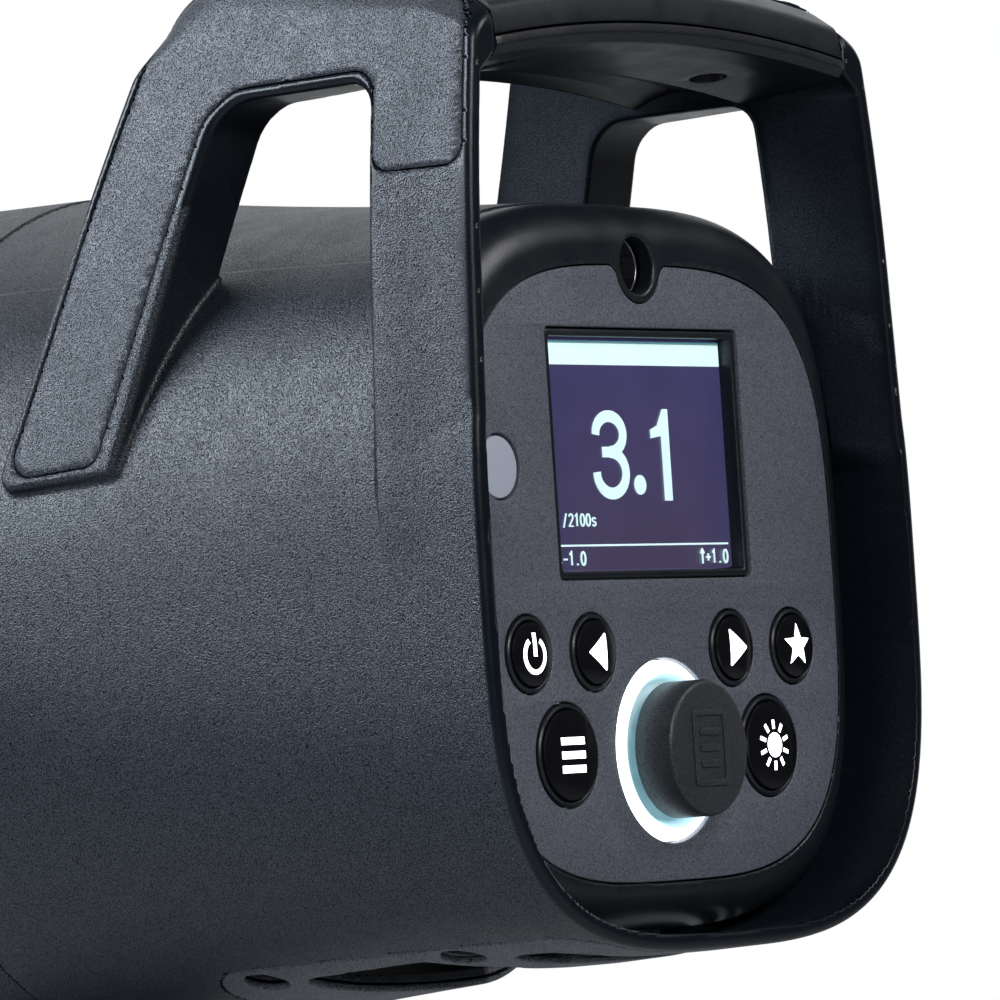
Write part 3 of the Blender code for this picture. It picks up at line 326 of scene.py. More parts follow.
def slab(name, outlines, low, high, facing=FACING_REAR, edge=0.0002, origin=None):
    """A flat plate with holes and rounded edges, between two depths along the facing's normal.

    FACING_REAR takes (x, z) outlines and depths along y, FACING_SIDE (y, z) outlines and depths
    along x, FACING_UP (x, y) outlines and depths along z.
    """
    curve = bpy.data.curves.new(name, "CURVE")
    curve.dimensions = "2D"
    curve.fill_mode = "BOTH"
    curve.bevel_depth = edge
    curve.bevel_resolution = 2
    curve.offset = -edge
    curve.extrude = (high - low) / 2 - edge
    for i, outline in enumerate(outlines):
        area = sum(a[0] * b[1] - b[0] * a[1] for a, b in zip(outline, outline[1:] + outline[:1]))
        if (area > 0) == (i > 0):
            outline = outline[::-1]
        spline = curve.splines.new("POLY")
        spline.points.add(len(outline) - 1)
        for point, (u, v) in zip(spline.points, outline):
            point.co = (u, v, 0, 1)
        spline.use_cyclic_u = True
    helper = bpy.data.objects.new(name, curve)
    bpy.context.scene.collection.objects.link(helper)
    bpy.context.view_layer.update()
    graph = bpy.context.evaluated_depsgraph_get()
    mesh = bpy.data.meshes.new_from_object(helper.evaluated_get(graph))
    bpy.data.objects.remove(helper, do_unlink=True)
    normal = facing.to_3x3() @ Vector((0, 0, 1))
    sign = -1 if normal.y < -0.5 else 1
    start = Vector(origin) if origin is not None else head(0, 0, 0)
    shift = start + normal * (sign * (low + high) / 2)
    mesh.transform(Matrix.Translation(shift) @ facing)
    bm = bmesh.new()
    bm.from_mesh(mesh)
    bpy.data.meshes.remove(mesh)
    bmesh.ops.remove_doubles(bm, verts=bm.verts, dist=1e-6)
    return object_from_bmesh(name, bm, 30)


def ribbon(points, width):
    """Outline of a stroke of constant width with square ends, along (u, v) points."""
    path = [Vector(p) for p in points]
    left, right = [], []
    for i, here in enumerate(path):
        before = (here - path[i - 1]).normalized() if i else (path[1] - here).normalized()
        after = (path[i + 1] - here).normalized() if i < len(path) - 1 else before
        mean = (before + after).normalized()
        normal = Vector((-mean.y, mean.x)) * (width / 2 / max(mean.dot(before), 0.5))
        left.append(tuple(here + normal))
        right.append(tuple(here - normal))
    return left + right[::-1]


def arc_points(centre, radius_u, radius_v, start, end, steps=12):
    turns = [math.radians(start + (end - start) * i / steps) for i in range(steps + 1)]
    return [(centre[0] + radius_u * math.cos(t), centre[1] + radius_v * math.sin(t)) for t in turns]


# ---- distance fields: negative inside, metres, head coordinates ---------------------------
CORNER_INSET = 0.00035      # how far inside a face its corner normals are taken,
CORNER_SHARE = 0.15         # at most this share of the way to its middle
SNAP_BEFORE, SNAP_AFTER = 0.55, 0.45        # reach of a crease in cells, round the thinning


def round_both(a, b, radius):
    """What is inside a and b, its edge rounded."""
    outside = np.hypot(np.maximum(a + radius, 0), np.maximum(b + radius, 0))
    return np.minimum(np.maximum(a, b), -radius) + outside


def round_join(a, b, radius):
    """What is inside a or b, the corner between them filleted."""
    return -round_both(-a, -b, radius)


def ease(t):
    t = np.clip(t, 0, 1)
    return t * t * (3 - 2 * t)


def oval_distance(x, z, half_w, half_h, power):
    """Distance, to first order, from a squared-off oval."""
    u = np.abs(x) / half_w + 1e-9
    v = np.abs(z) / half_h + 1e-9
    reach = (u ** power + v ** power) ** (1 / power)
    slope_x = (u / reach) ** (power - 1) / half_w
    slope_z = (v / reach) ** (power - 1) / half_h
    return (reach - 1) / np.hypot(slope_x, slope_z)


def outline_distance(points, u, v):
    """Signed distance from a closed outline in the (u, v) plane."""
    nearest = None
    inside = None
    for (ua, va), (ub, vb) in zip(points, points[1:] + points[:1]):
        eu, ev = ub - ua, vb - va
        length2 = eu * eu + ev * ev
        if length2 < 1e-16:
            continue
        t = np.clip(((u - ua) * eu + (v - va) * ev) / length2, 0, 1)
        away = (u - ua - eu * t) ** 2 + (v - va - ev * t) ** 2
        nearest = away if nearest is None else np.minimum(nearest, away)
        if ev != 0:
            crosses = ((va > v) != (vb > v)) & (u < eu * (v - va) / ev + ua)
            inside = crosses if inside is None else inside ^ crosses
    return np.where(inside, -1.0, 1.0) * np.sqrt(nearest)


class OutlineField:
    """Signed distance from a closed outline, read off a fine grid made once."""

    def __init__(self, points, step=0.00015, margin=0.003):
        corners = np.array(points)
        self.step = step
        self.low = corners.min(0) - margin
        self.count = np.ceil((corners.max(0) + margin - self.low) / step).astype(int)
        u, v = (self.low[i] + step * np.arange(self.count[i]) for i in (0, 1))
        self.values = outline_distance(points, u[:, None], v[None, :])

    def __call__(self, u, v):
        a, b = (u - self.low[0]) / self.step, (v - self.low[1]) / self.step
        a_in = np.clip(a, 0, self.count[0] - 1.001)
        b_in = np.clip(b, 0, self.count[1] - 1.001)
        i, j = a_in.astype(np.int32), b_in.astype(np.int32)
        fa, fb = a_in - i, b_in - j
        low = self.values[i, j] * (1 - fb) + self.values[i, j + 1] * fb
        high = self.values[i + 1, j] * (1 - fb) + self.values[i + 1, j + 1] * fb
        return low * (1 - fa) + high * fa + np.hypot(a - a_in, b - b_in) * self.step


def surface_net(field, low, high, cell):
    """Vertices and faces of a net over the field's zero level, one vertex to a crossed cell."""
    axes = [np.arange(a - 2 * cell, b + 2 * cell, cell) for a, b in zip(low, high)]
    inside = field(*np.meshgrid(*axes, indexing="ij", sparse=True)) < 0
    count = np.zeros([n - 1 for n in inside.shape], np.uint8)
    for i in (0, 1):
        for j in (0, 1):
            for k in (0, 1):
                corner = inside[i:inside.shape[0] - 1 + i, j:inside.shape[1] - 1 + j,
                                k:inside.shape[2] - 1 + k]
                count += corner
    crossed = (count > 0) & (count < 8)
    index = np.full(crossed.shape, -1, np.int64)
    index[crossed] = np.arange(np.count_nonzero(crossed))
    where = np.argwhere(crossed)
    points = np.stack([axes[a][where[:, a]] + cell / 2 for a in range(3)], 1)
    faces = []
    for axis in range(3):
        samples = np.moveaxis(inside, axis, 0)
        ids = np.moveaxis(index, axis, 0)
        near = samples[:-1, 1:-1, 1:-1]
        far = samples[1:, 1:-1, 1:-1]
        i, j, k = np.nonzero(near != far)
        quads = np.stack([ids[i, j, k], ids[i, j + 1, k], ids[i, j + 1, k + 1],
                          ids[i, j, k + 1]], 1)
        turn = near[i, j, k] == (axis == 1)
        quads[turn] = quads[turn][:, ::-1]
        faces.append(quads)
    return points, np.concatenate(faces)


def gradient(field, points, step=2e-5):
    slopes = []
    for axis in range(3):
        shift = np.zeros(3)
        shift[axis] = step
        ahead = field(*(points + shift).T)
        behind = field(*(points - shift).T)
        slopes.append((ahead - behind) / (2 * step))
    return np.stack(slopes, 1)


def settle(field, points, cell, rounds):
    """Slide points along the field's slope onto its zero level."""
    for _ in range(rounds):
        slope = gradient(field, points)
        value = field(*points.T)
        move = -value / np.maximum((slope ** 2).sum(1), 0.05)
        move = np.clip(move, -cell, cell)
        points = points + slope * move[:, None]
    return points


def snap_to_creases(points, creases, reach):
    """Points near a line where two fields are both zero move onto that line."""
    for first, second in creases:
        near = (np.abs(first(*points.T)) < reach) & (np.abs(second(*points.T)) < reach)
        kept = points[near]
        for _ in range(4):
            kept = settle(first, kept, reach, 1)
            kept = settle(second, kept, reach, 1)
        points[near] = kept
    return points


def corner_normals(field, mesh, points):
    """The field's normal at every face corner, taken a little inside the face."""
    index = np.empty(len(mesh.loops), np.int64)
    mesh.loops.foreach_get("vertex_index", index)
    starts = np.empty(len(mesh.polygons), np.int64)
    mesh.polygons.foreach_get("loop_start", starts)
    totals = np.empty(len(mesh.polygons), np.int64)
    mesh.polygons.foreach_get("loop_total", totals)
    corners = points[index]
    centres = np.add.reduceat(corners, starts) / totals[:, None]
    inward = np.repeat(centres, totals, axis=0) - corners
    length = np.maximum(np.linalg.norm(inward, axis=1), 1e-9)
    inward *= (np.minimum(CORNER_SHARE * length, CORNER_INSET) / length)[:, None]
    normals = gradient(field, corners + inward)
    return normals / np.maximum(np.linalg.norm(normals, axis=1), 1e-9)[:, None]


def skin_from_field(name, field, low, high, cell, keep, zones=None, creases=()):
    """A closed mesh of a head-coordinate field, thinned, with the field's own normals."""
    points, faces = surface_net(field, low, high, cell)
    points = settle(field, points, cell, 3)
    points = snap_to_creases(points, creases, SNAP_BEFORE * cell)
    mesh = bpy.data.meshes.new(name)
    mesh.from_pydata(points.tolist(), [], faces.tolist())
    obj = bpy.data.objects.new(name, mesh)
    bpy.context.scene.collection.objects.link(obj)
    thin = obj.modifiers.new("thin", "DECIMATE")
    thin.ratio = keep
    bake_modifiers(obj, 180)
    mesh = obj.data
    co = np.empty(len(mesh.vertices) * 3)
    mesh.vertices.foreach_get("co", co)
    points = settle(field, co.reshape(-1, 3), cell, 2)
    points = snap_to_creases(points, creases, SNAP_AFTER * cell)
    for zone, value in (zones or {}).items():
        attribute = mesh.attributes.new(zone, "FLOAT", "POINT")
        attribute.data.foreach_set("value", value(*points.T).astype(np.float32))
    mesh.vertices.foreach_set("co", (points + np.array(head(0, 0, 0))).ravel())
    mesh.update()
    mesh.normals_split_custom_set(corner_normals(field, mesh, points).tolist())
    return obj


# ---- the moulded housing as fields --------------------------------------------------------
def shell_sizes(y):
    t = np.clip((y - LIP_Y) / (SEAM_Y - LIP_Y), 0, 1)
    half_w = REAR_HALF_W + (HEAD_R - REAR_HALF_W) * t
    half_h = REAR_HALF_H + (HEAD_R - REAR_HALF_H) * (0.5 * t + 0.5 * t * t)
    return half_w, half_h, REAR_POWER + (2.0 - REAR_POWER) * t


def hull_distance(x, y, z):
    """The head's outer skin, its roof a hair lower than its side mouldings."""
    half_w, half_h, power = shell_sizes(y)
    roof = (1 - ease((np.abs(x) - ROOF_HALF_W) / 0.0006 + 0.5)) * (z > 0)
    return oval_distance(x, z, half_w, half_h, power) + ROOF_STEP * roof


def side_face(y, z):
    """Half-width of the handle's outer face, which melts into the shell at the hood."""
    flare = HANDLE_FLARE - FLARE_LOSS * (z - 0.0216)
    face = HANDLE_HALF_W - HANDLE_LEAN * (z - 0.006) + flare * (y - LIP_Y)
    face = face - HANDLE_CURL * np.maximum(z - 0.050, 0) ** 2
    half_w, half_h, power = shell_sizes(y)
    body = half_w * np.maximum(1 - (np.abs(z) / half_h) ** power, 0.01) ** (1 / power)
    own = ease(np.maximum((z - 0.004) / 0.022, (y - 0.012) / 0.012))
    ridge = RIDGE * ease((z + 0.002) / 0.018) * ease((y + 0.003) / 0.010)
    ridge = ridge * (1 - ease((y - 0.012) / 0.012))
    return body + np.maximum(face - body, 0.0001) * own + ridge


def side_thickness(y, z):
    reach = np.clip((y - LIP_Y) / 0.0532, 0, 1)
    return LIP_WALL + 0.0114 * np.sin(np.pi / 2 * reach) * ease((z - 0.0160) / 0.0060)


HANDLE_OUTLINE = OutlineField(arcs(HANDLE_CORNERS, 6))


def cover_outline(inset):
    """The cover's side view: the handle's own, set in, and ended at the foot of the rear leg."""
    corners = [
        (0.0808 - 1.38 * inset, 0.0196 + inset, 0.003),
        (0.0517 - 0.8 * inset, 0.0960 - 0.7 * inset, 0.010),
        (0.0410, 0.1032 - inset, 0.005), (-0.0035, 0.0960 - inset, 0.009),
        (LIP_Y + inset, 0.0885 - 0.5 * inset, 0.005), (LIP_Y + inset, COVER_END_Z, 0.003),
        (0.0092 - 0.5 * inset, COVER_END_Z, 0.003), (0.0092 - 0.5 * inset, 0.0796 + inset, 0.004),
        (0.0345 + 0.5 * inset, 0.0790 + inset, 0.0085),
        (0.0392 + inset, 0.0759 + 0.4 * inset, 0.0085),
        (0.0590 + inset, 0.0209 + inset, 0.003),
    ]
    return arcs(corners, 6)


COVER_OUTLINE = OutlineField(cover_outline(COVER_INSET))


def handle_hull(x, y, z):
    """Outer face and rims of the handle, without its inner face."""
    rim = HANDLE_EDGE + (HANDLE_CROWN - HANDLE_EDGE) * ease((z - 0.0840) / 0.009)
    face = np.abs(x) - side_face(y, z)
    return round_both(HANDLE_OUTLINE(y, z), face, rim)


def handle_distance(x, y, z):
    """The handle with its inner face, which flares inwards under the grip's end."""
    inner = side_face(y, z) - side_thickness(y, z)
    flare = ease((z - 0.0790) / 0.0045)
    inner = np.minimum(inner, inner + (GRIP_END - inner) * flare)
    return round_both(handle_hull(x, y, z), inner - np.abs(x), 0.0008)


def bezel_distance(x, y, z):
    oval = oval_distance(x, z - BEZEL_Z, BEZEL_HALF_W, BEZEL_HALF_H, BEZEL_POWER)
    return np.maximum(round_both(oval, -y, BEZEL_EDGE), y - (SHOULDER_Y - GAP))


def shoe_plan(x, y):
    """Plan outline of the base plate, negative inside."""
    centre = (SHOE_REAR_Y + SHOE_FRONT_Y) / 2
    u = np.abs(x) - SHOE_HALF_W + SHOE_CORNER
    v = np.abs(y - centre) - (SHOE_FRONT_Y - SHOE_REAR_Y) / 2 + SHOE_CORNER
    away = np.hypot(np.maximum(u, 0), np.maximum(v, 0))
    return away + np.minimum(np.maximum(u, v), 0) - SHOE_CORNER


def mirrored(corners):
    """A whole outline's corners from those of its right half."""
    return list(corners) + [(-x, y, radius) for x, y, radius in corners[::-1]]


FRONT_POCKET, REAR_POCKET = (OutlineField(arcs(mirrored(half), 5)) for half in POCKETS)


def base_holes(x, y, z, through):
    """Pockets and screw wells in the underside; the rear pocket is blind in the shell."""
    holes = FRONT_POCKET(x, y)
    rear = REAR_POCKET(x, y)
    if not through:
        rear = np.maximum(rear, -hull_distance(x, y, z) - REAR_POCKET_DEPTH)
    holes = np.minimum(holes, rear)
    for cx, cy in SHOE_SCREWS:
        holes = np.minimum(holes, np.hypot(x - cx, y - cy) - SCREW_WELL_R)
    return np.maximum(holes, z + 0.030)


def cover_layer(x, y, z):
    """Distance from the handle's outside, counted from its face alone and its rounded top."""
    face = np.abs(x) - side_face(y, z) + 0.0030 * ease((z - 0.0870) / 0.006)
    return np.minimum(handle_hull(x, y, z), face)


def skin_distance(x, y, z):
    hull = hull_distance(x, y, z)
    lip = round_both(hull, LIP_Y - y, HANDLE_EDGE)
    shell = round_both(lip, -(hull + np.where(y < SHOULDER_Y, LIP_WALL, WALL)), 0.0003)
    shell = round_both(shell, y - SEAM_Y, 0.0002)
    overlap = CROWN_OVERLAP * ease((np.abs(x) - CROWN_SIDE_W) / 0.004)
    crown = np.maximum(y - SHOULDER_Y + overlap, HOOD_TOP_Z - z)
    shell = round_both(shell, -crown, 0.0008)
    side = handle_distance(x, y, z)
    side = np.maximum(side, -(hull + 0.0012) * (y > SHOULDER_Y) - 0.02 * (y <= SHOULDER_Y))
    both = round_join(shell, side, 0.0012 * ease((y - 0.030) / 0.012) + 1e-6)
    both = np.maximum(both, -(bezel_distance(x, y, z) - GAP))
    seat = np.maximum(COVER_OUTLINE(y, z) - GAP, -cover_layer(x, y, z) - COVER_T - GAP)
    both = round_both(both, -seat, 0.0002)
    shoe = np.maximum(np.maximum(shoe_plan(x, y), -hull - SHOE_SEAT), z)
    both = np.maximum(both, -shoe)
    return np.maximum(both, -base_holes(x, y, z, False))


def seat_side(_x, y, z):
    """Distance from the sides of the recess that a cover sits in."""
    return COVER_OUTLINE(y, z) - GAP


def cover_side(_x, y, z):
    return COVER_OUTLINE(y, z)


def cover_top(x, y, z):
    return handle_hull(x, y, z) + GAP / 3


def cover_distance(x, y, z):
    layer = round_both(cover_top(x, y, z), cover_side(x, y, z), 0.0003)
    return np.maximum(layer, -(cover_layer(x, y, z) + COVER_T))


def panel_seat(x, _y, z):
    """Distance from the panel's opening in the bezel, the same at every depth."""
    oval = oval_distance(x, z - PANEL_Z, PANEL_HALF_W + GAP, PANEL_HALF_H + GAP, PANEL_POWER)
    return round_both(oval, tongue_distance(x, z, NOTCH_R - GAP), NOTCH_FILLET)


def bezel_piece_distance(x, y, z):
    plan = panel_seat(x, y, z)
    seat = np.maximum(plan, y - PANEL_T - GAP)
    window = np.maximum(plan + PANEL_LEDGE, y - 0.02)
    bezel = round_both(bezel_distance(x, y, z), -seat, 0.0002)
    bezel = np.maximum(bezel, -window)
    bore = UMBRELLA_R + np.where(y > 0.0032, UMBRELLA_WALL + GAP, 0.0)
    return round_both(bezel, bore - np.hypot(x, z - UMBRELLA_Z), 0.0007)


def tongue_distance(x, z, radius):
    """Negative away from the tongue that the bezel puts round the umbrella hole."""
    below = np.hypot(x, z - UMBRELLA_Z) - radius
    above = np.maximum(np.abs(x) - radius, UMBRELLA_Z - z)
    return -np.minimum(below, above)


def shoe_distance(x, y, z):
    hull = hull_distance(x, y, z)
    plate = round_both(hull, shoe_plan(x, y) + GAP, 0.0004)
    plate = np.maximum(np.maximum(plate, -(hull + SHOE_T)), z + 0.02)
    return round_both(plate, -base_holes(x, y, z, True), 0.0004)


# ---- materials ----------------------------------------------------------------------------
class Shader:
    """A material's node tree with short calls to add and join nodes."""

    def __init__(self, name):
        self.material = bpy.data.materials.new(name)
        self.material.use_nodes = True
        self.nodes = self.material.node_tree.nodes
        self.links = self.material.node_tree.links
        self.base = self.nodes["Principled BSDF"]
        self.place = self.add("ShaderNodeTexCoord").outputs["Object"]

    def add(self, kind, settings=None, **inputs):
        node = self.nodes.new(kind)
        for key, value in (settings or {}).items():
            setattr(node, key, value)
        for key, value in inputs.items():
            self.feed(node, key.replace("_", " "), value)
        return node

    def feed(self, node, key, value):
        socket = node.inputs[int(key[1:])] if key[0] == "#" else node.inputs[key]
        if isinstance(value, bpy.types.NodeSocket):
            self.links.new(value, socket)
        else:
            socket.default_value = value

    def noise(self, scale, detail=2.0, rough=0.5, place=None):
        node = self.add("ShaderNodeTexNoise", None, Scale=scale, Detail=detail, Roughness=rough,
                        Vector=place or self.place)
        return node.outputs["Fac"]

    def cells(self, scale, feature="F1", place=None):
        node = self.add("ShaderNodeTexVoronoi", {"feature": feature}, Scale=scale,
                        Vector=place or self.place)
        return node.outputs["Distance"]

    def stretched(self, scale):
        node = self.add("ShaderNodeMapping", None, Vector=self.place)
        node.inputs["Scale"].default_value = scale
        return node.outputs["Vector"]

    def span(self, value, low, high, to_low, to_high):
        node = self.add("ShaderNodeMapRange", {"clamp": True}, Value=value)
        for key, number in (("From Min", low), ("From Max", high), ("To Min", to_low),
                            ("To Max", to_high)):
            self.feed(node, key, number)
        return node.outputs["Result"]

    def spread(self, noise, to_low, to_high):
        """A noise's usual range, stretched to the wanted one."""
        return self.span(noise, 0.3, 0.7, to_low, to_high)

    def math(self, operation, a, b=0.0):
        node = self.nodes.new("ShaderNodeMath")
        node.operation = operation
        for i, value in enumerate((a, b)):
            self.feed(node, f"#{i}", value)
        return node.outputs[0]

    def blend(self, factor, first, second):
        node = self.nodes.new("ShaderNodeMix")
        node.data_type = "RGBA"
        self.feed(node, "#0", factor)
        for index, value in ((6, first), (7, second)):
            if isinstance(value, tuple):
                value = (*value, 1.0) if len(value) == 3 else value
            self.feed(node, f"#{index}", value)
        return node.outputs[2]

    def attribute(self, name):
        node = self.add("ShaderNodeAttribute", {"attribute_name": name})
        return node.outputs["Fac"]

    def bump(self, height, distance, strength=1.0, normal=None):
        node = self.add("ShaderNodeBump", None, Height=height, Distance=distance,
                        Strength=strength)
        if normal is not None:
            self.links.new(normal, node.inputs["Normal"])
        return node.outputs["Normal"]

    def set(self, **inputs):
        for key, value in inputs.items():
            name = key.replace("_", " ")
            if isinstance(value, tuple) and len(value) == 3:
                value = (*value, 1.0)
            self.feed(self.base, name, value)
        return self


def tint(colour, factor):
    return tuple(c * factor for c in colour)


def grained_plastic(name, colour, roughness, grain=0.00030, height=0.00005, contrast=0.35,
                    glint=0.0, smooth_zone=None, smooth_roughness=0.30):
    """Moulded plastic with a sand grain whose tone swings with its relief, partly the grain's own
    tone and partly painted sparkle; glint adds pale specks as painted glints; a zone attribute can
    turn the grain into a satin rim.
    """
    s = Shader(name)
    fine = s.noise(1 / grain, 1.0, 0.5)
    pits = s.cells(0.9 / grain)
    relief = s.math("ADD", fine, s.math("MULTIPLY", pits, 0.5))
    drift = s.noise(28.0, 3.0, 0.55)
    wear = s.noise(160.0, 4.0, 0.6)
    # The tone swings with the grain's relief: partly the grain's own tone, partly painted sparkle
    # standing in for glints off its bumps.
    light = s.span(relief, 0.45, 0.95, 1 - contrast, 1 + contrast)
    light = s.math("MULTIPLY", light, s.spread(drift, 0.93, 1.07))
    dark_tone, light_tone = tint(colour, 0.30), tint(colour, 2.0)
    tone = s.blend(s.span(light, 0.4, 1.6, 0.0, 1.0), dark_tone, light_tone)
    rough = s.spread(wear, roughness - 0.05, roughness + 0.06)
    strength = 1.0
    if glint:
        # Pale glossy specks mixed into the colour: painted glints.
        painted_glint = s.span(s.cells(0.33 / grain), 0.0, 0.16, 1.0, 0.0)
        painted_glint = s.math("MULTIPLY", painted_glint, s.span(s.noise(0.21 / grain), 0.50, 0.62, 0.0, 1.0))
        tone = s.blend(s.math("MULTIPLY", painted_glint, glint), tone, (0.55, 0.62, 0.66))
        rough = s.math("SUBTRACT", rough, s.math("MULTIPLY", painted_glint, 0.25))
    if smooth_zone:
        zone = s.attribute(smooth_zone)
        tone = s.blend(zone, tone, tint(colour, 0.80))
        rough = s.math("ADD", s.math("MULTIPLY", rough, s.math("SUBTRACT", 1.0, zone)),
                       s.math("MULTIPLY", s.spread(wear, smooth_roughness - 0.03,
                                                 smooth_roughness + 0.04), zone))
        strength = s.span(zone, 0.0, 1.0, 1.0, 0.12)
    normal = s.bump(relief, height, strength)
    shine = s.span(relief, 0.50, 0.90, 0.5 - 0.6 * contrast, 0.5 + 0.6 * contrast)
    if smooth_zone:
        shine = s.math("ADD", s.math("MULTIPLY", shine, s.math("SUBTRACT", 1.0, zone)),
                       s.math("MULTIPLY", zone, 0.32))
    s.set(Base_Color=tone, Roughness=rough, Normal=normal, IOR=1.48, Specular_IOR_Level=shine)
    return s.material


def gloss_plastic(name, colour, roughness=0.12, haze=0.08):
    """Polished plastic with faint finger haze."""
    s = Shader(name)
    smear = s.noise(220.0, 4.0, 0.6)
    dust = s.span(s.cells(1600.0), 0.0, 0.10, 1.0, 0.0)
    dust = s.math("MULTIPLY", dust, s.span(s.noise(500.0), 0.55, 0.62, 0.0, 0.35))
    tone = s.blend(dust, colour, (0.30, 0.31, 0.33))
    s.set(Base_Color=tone, Roughness=s.span(smear, 0.35, 0.75, roughness, roughness + haze),
          Normal=s.bump(s.noise(700.0, 2.0), 0.000006), Coat_Weight=0.3, Coat_Roughness=0.08)
    return s.material


def metal(name, colour, roughness, brushed=None, marks=0.00002):
    """Metal with machining lines along one axis, or a fine blasted surface without one."""
    s = Shader(name)
    lines = {"x": (40.0, 4000.0, 4000.0), "y": (4000.0, 40.0, 4000.0), "z": (4000.0, 4000.0, 40.0)}
    place = s.stretched(lines[brushed]) if brushed else None
    fine = s.noise(1.0, 2.0, 0.5, place) if brushed else s.noise(2600.0, 3.0, 0.6)
    stain = s.noise(60.0, 5.0, 0.6)
    tone = s.blend(s.span(stain, 0.35, 0.70, 0.0, 1.0), tint(colour, 0.82), colour)
    rough = s.math("ADD", s.spread(fine, roughness - 0.06, roughness + 0.06),
                   s.spread(stain, -0.03, 0.05))
    s.set(Base_Color=tone, Metallic=1.0, Roughness=rough, Normal=s.bump(fine, marks))
    return s.material


def coated_metal(name, colour, roughness=0.42):
    """Powder coat: orange peel over a cast body, slightly rubbed."""
    s = Shader(name)
    peel = s.noise(1300.0, 2.0, 0.5)
    speck = s.noise(5200.0, 2.0, 0.5)
    rub = s.span(s.noise(90.0, 5.0, 0.65), 0.60, 0.80, 0.0, 0.35)
    tone = s.blend(rub, colour, tint(colour, 2.2))
    tone = s.blend(s.span(speck, 0.60, 0.75, 0.0, 0.4), tone, tint(colour, 3.0))
    relief = s.bump(peel, 0.00006, 0.8, s.bump(speck, 0.00002))
    s.set(Base_Color=tone, Metallic=0.1, Roughness=s.spread(peel, roughness - 0.06,
                                                           roughness + 0.08), Normal=relief)
    return s.material


def glass(name, colour, alpha, roughness=0.03):
    """Clear glass as the viewer and the export both show it: coated, mostly see-through."""
    s = Shader(name)
    film = s.noise(90.0, 4.0, 0.6)
    edge = s.add("ShaderNodeLayerWeight", None, Blend=0.35).outputs["Facing"]
    s.set(Base_Color=colour, Roughness=s.span(film, 0.35, 0.75, roughness, roughness + 0.05),
          Alpha=s.math("ADD", alpha, s.math("MULTIPLY", edge, 0.45)), IOR=1.50,
          Coat_Weight=0.6, Coat_Roughness=0.02)
    return s.material


def glow(name, colour, strength, base=(0.75, 0.80, 0.82)):
    """A lit diffuser with slightly uneven light."""
    s = Shader(name)
    uneven = s.noise(240.0, 2.0)
    s.set(Base_Color=base, Roughness=0.35, Emission_Color=colour,
          Emission_Strength=s.spread(uneven, 0.92 * strength, 1.06 * strength))
    return s.material


def ring_glow(name, centre, inner, outer, strength):
    """The selector's light ring: white at its rim, cyan and dimmer towards the knob."""
    s = Shader(name)
    away = s.add("ShaderNodeVectorMath", {"operation": "SUBTRACT"}, **{"#0": s.place})
    away.inputs[1].default_value = centre
    flat = s.add("ShaderNodeVectorMath", {"operation": "MULTIPLY"}, **{"#0": away.outputs[0]})
    flat.inputs[1].default_value = (1, 0, 1)
    radius = s.add("ShaderNodeVectorMath", {"operation": "LENGTH"},
                   **{"#0": flat.outputs[0]}).outputs["Value"]
    reach = s.span(radius, inner, outer, 0.0, 1.0)
    tone = s.blend(reach, (0.36, 0.80, 0.95), (0.93, 0.98, 1.0))
    power = s.math("MULTIPLY", s.math("POWER", reach, 1.2), strength)
    s.set(Base_Color=(0.70, 0.78, 0.80), Roughness=0.3, Emission_Color=tone,
          Emission_Strength=s.math("ADD", power, s.spread(s.noise(260.0), 0.25, 0.35)))
    return s.material


def screen_glow(name, low, high):
    """Dark violet display: bluer at the edges, browner low down, with a fine pixel grid."""
    s = Shader(name)
    split = s.add("ShaderNodeSeparateXYZ", None, Vector=s.place)
    across = s.span(split.outputs["X"], low.x, high.x, 0.0, 1.0)
    up = s.span(split.outputs["Z"], low.z, high.z, 0.0, 1.0)
    middle = s.blend(up, (0.078, 0.062, 0.130), (0.066, 0.056, 0.180))
    edge = s.span(s.math("ABSOLUTE", s.math("SUBTRACT", across, 0.5)), 0.30, 0.50, 0.0, 0.6)
    tone = s.blend(edge, middle, (0.045, 0.045, 0.165))
    rows = s.math("SINE", s.math("MULTIPLY", split.outputs["Z"], 2 * math.pi / 0.00021))
    uneven = s.math("ADD", s.span(rows, -1.0, 1.0, 0.92, 1.05),
                    s.spread(s.noise(120.0), -0.06, 0.06))
    s.set(Base_Color=(0.010, 0.010, 0.014), Roughness=0.25, Emission_Color=tone,
          Emission_Strength=s.math("MULTIPLY", uneven, 1.0))
    return s.material


def board_material(name):
    s = Shader(name)
    traces = s.add("ShaderNodeTexBrick", {"offset": 0.37}, Vector=s.place, Scale=170.0,
                   Mortar_Size=0.06)
    lines = s.math("SUBTRACT", 1.0, traces.outputs["Fac"])
    tone = s.blend(lines, (0.030, 0.190, 0.080), (0.012, 0.095, 0.045))
    tone = s.blend(s.span(s.noise(900.0), 0.62, 0.66, 0.0, 0.8), tone, (0.55, 0.50, 0.30))
    s.set(Base_Color=tone, Roughness=s.spread(s.noise(400.0), 0.3, 0.45),
          Normal=s.bump(lines, 0.00004))
    return s.material


def sleeve_material(name):
    s = Shader(name)
    stripes = s.math("SINE", s.math("MULTIPLY", s.noise(40.0), 30.0))
    tone = s.blend(s.span(stripes, 0.6, 0.9, 0.0, 0.25), (0.02, 0.035, 0.10), (0.10, 0.12, 0.20))
    s.set(Base_Color=tone, Roughness=s.spread(s.noise(300.0), 0.22, 0.36),
          Normal=s.bump(s.noise(600.0), 0.00003))
    return s.material


def phosphor_material(name):
    """Yellow chip-on-board lamp: a dot field under silicone."""
    s = Shader(name)
    dots = s.span(s.cells(620.0), 0.15, 0.42, 1.0, 0.0)
    tone = s.blend(dots, (0.78, 0.62, 0.10), (0.92, 0.78, 0.26))
    s.set(Base_Color=tone, Roughness=s.spread(s.noise(500.0), 0.32, 0.50),
          Normal=s.bump(dots, 0.00012), Subsurface_Weight=0.15)
    return s.material


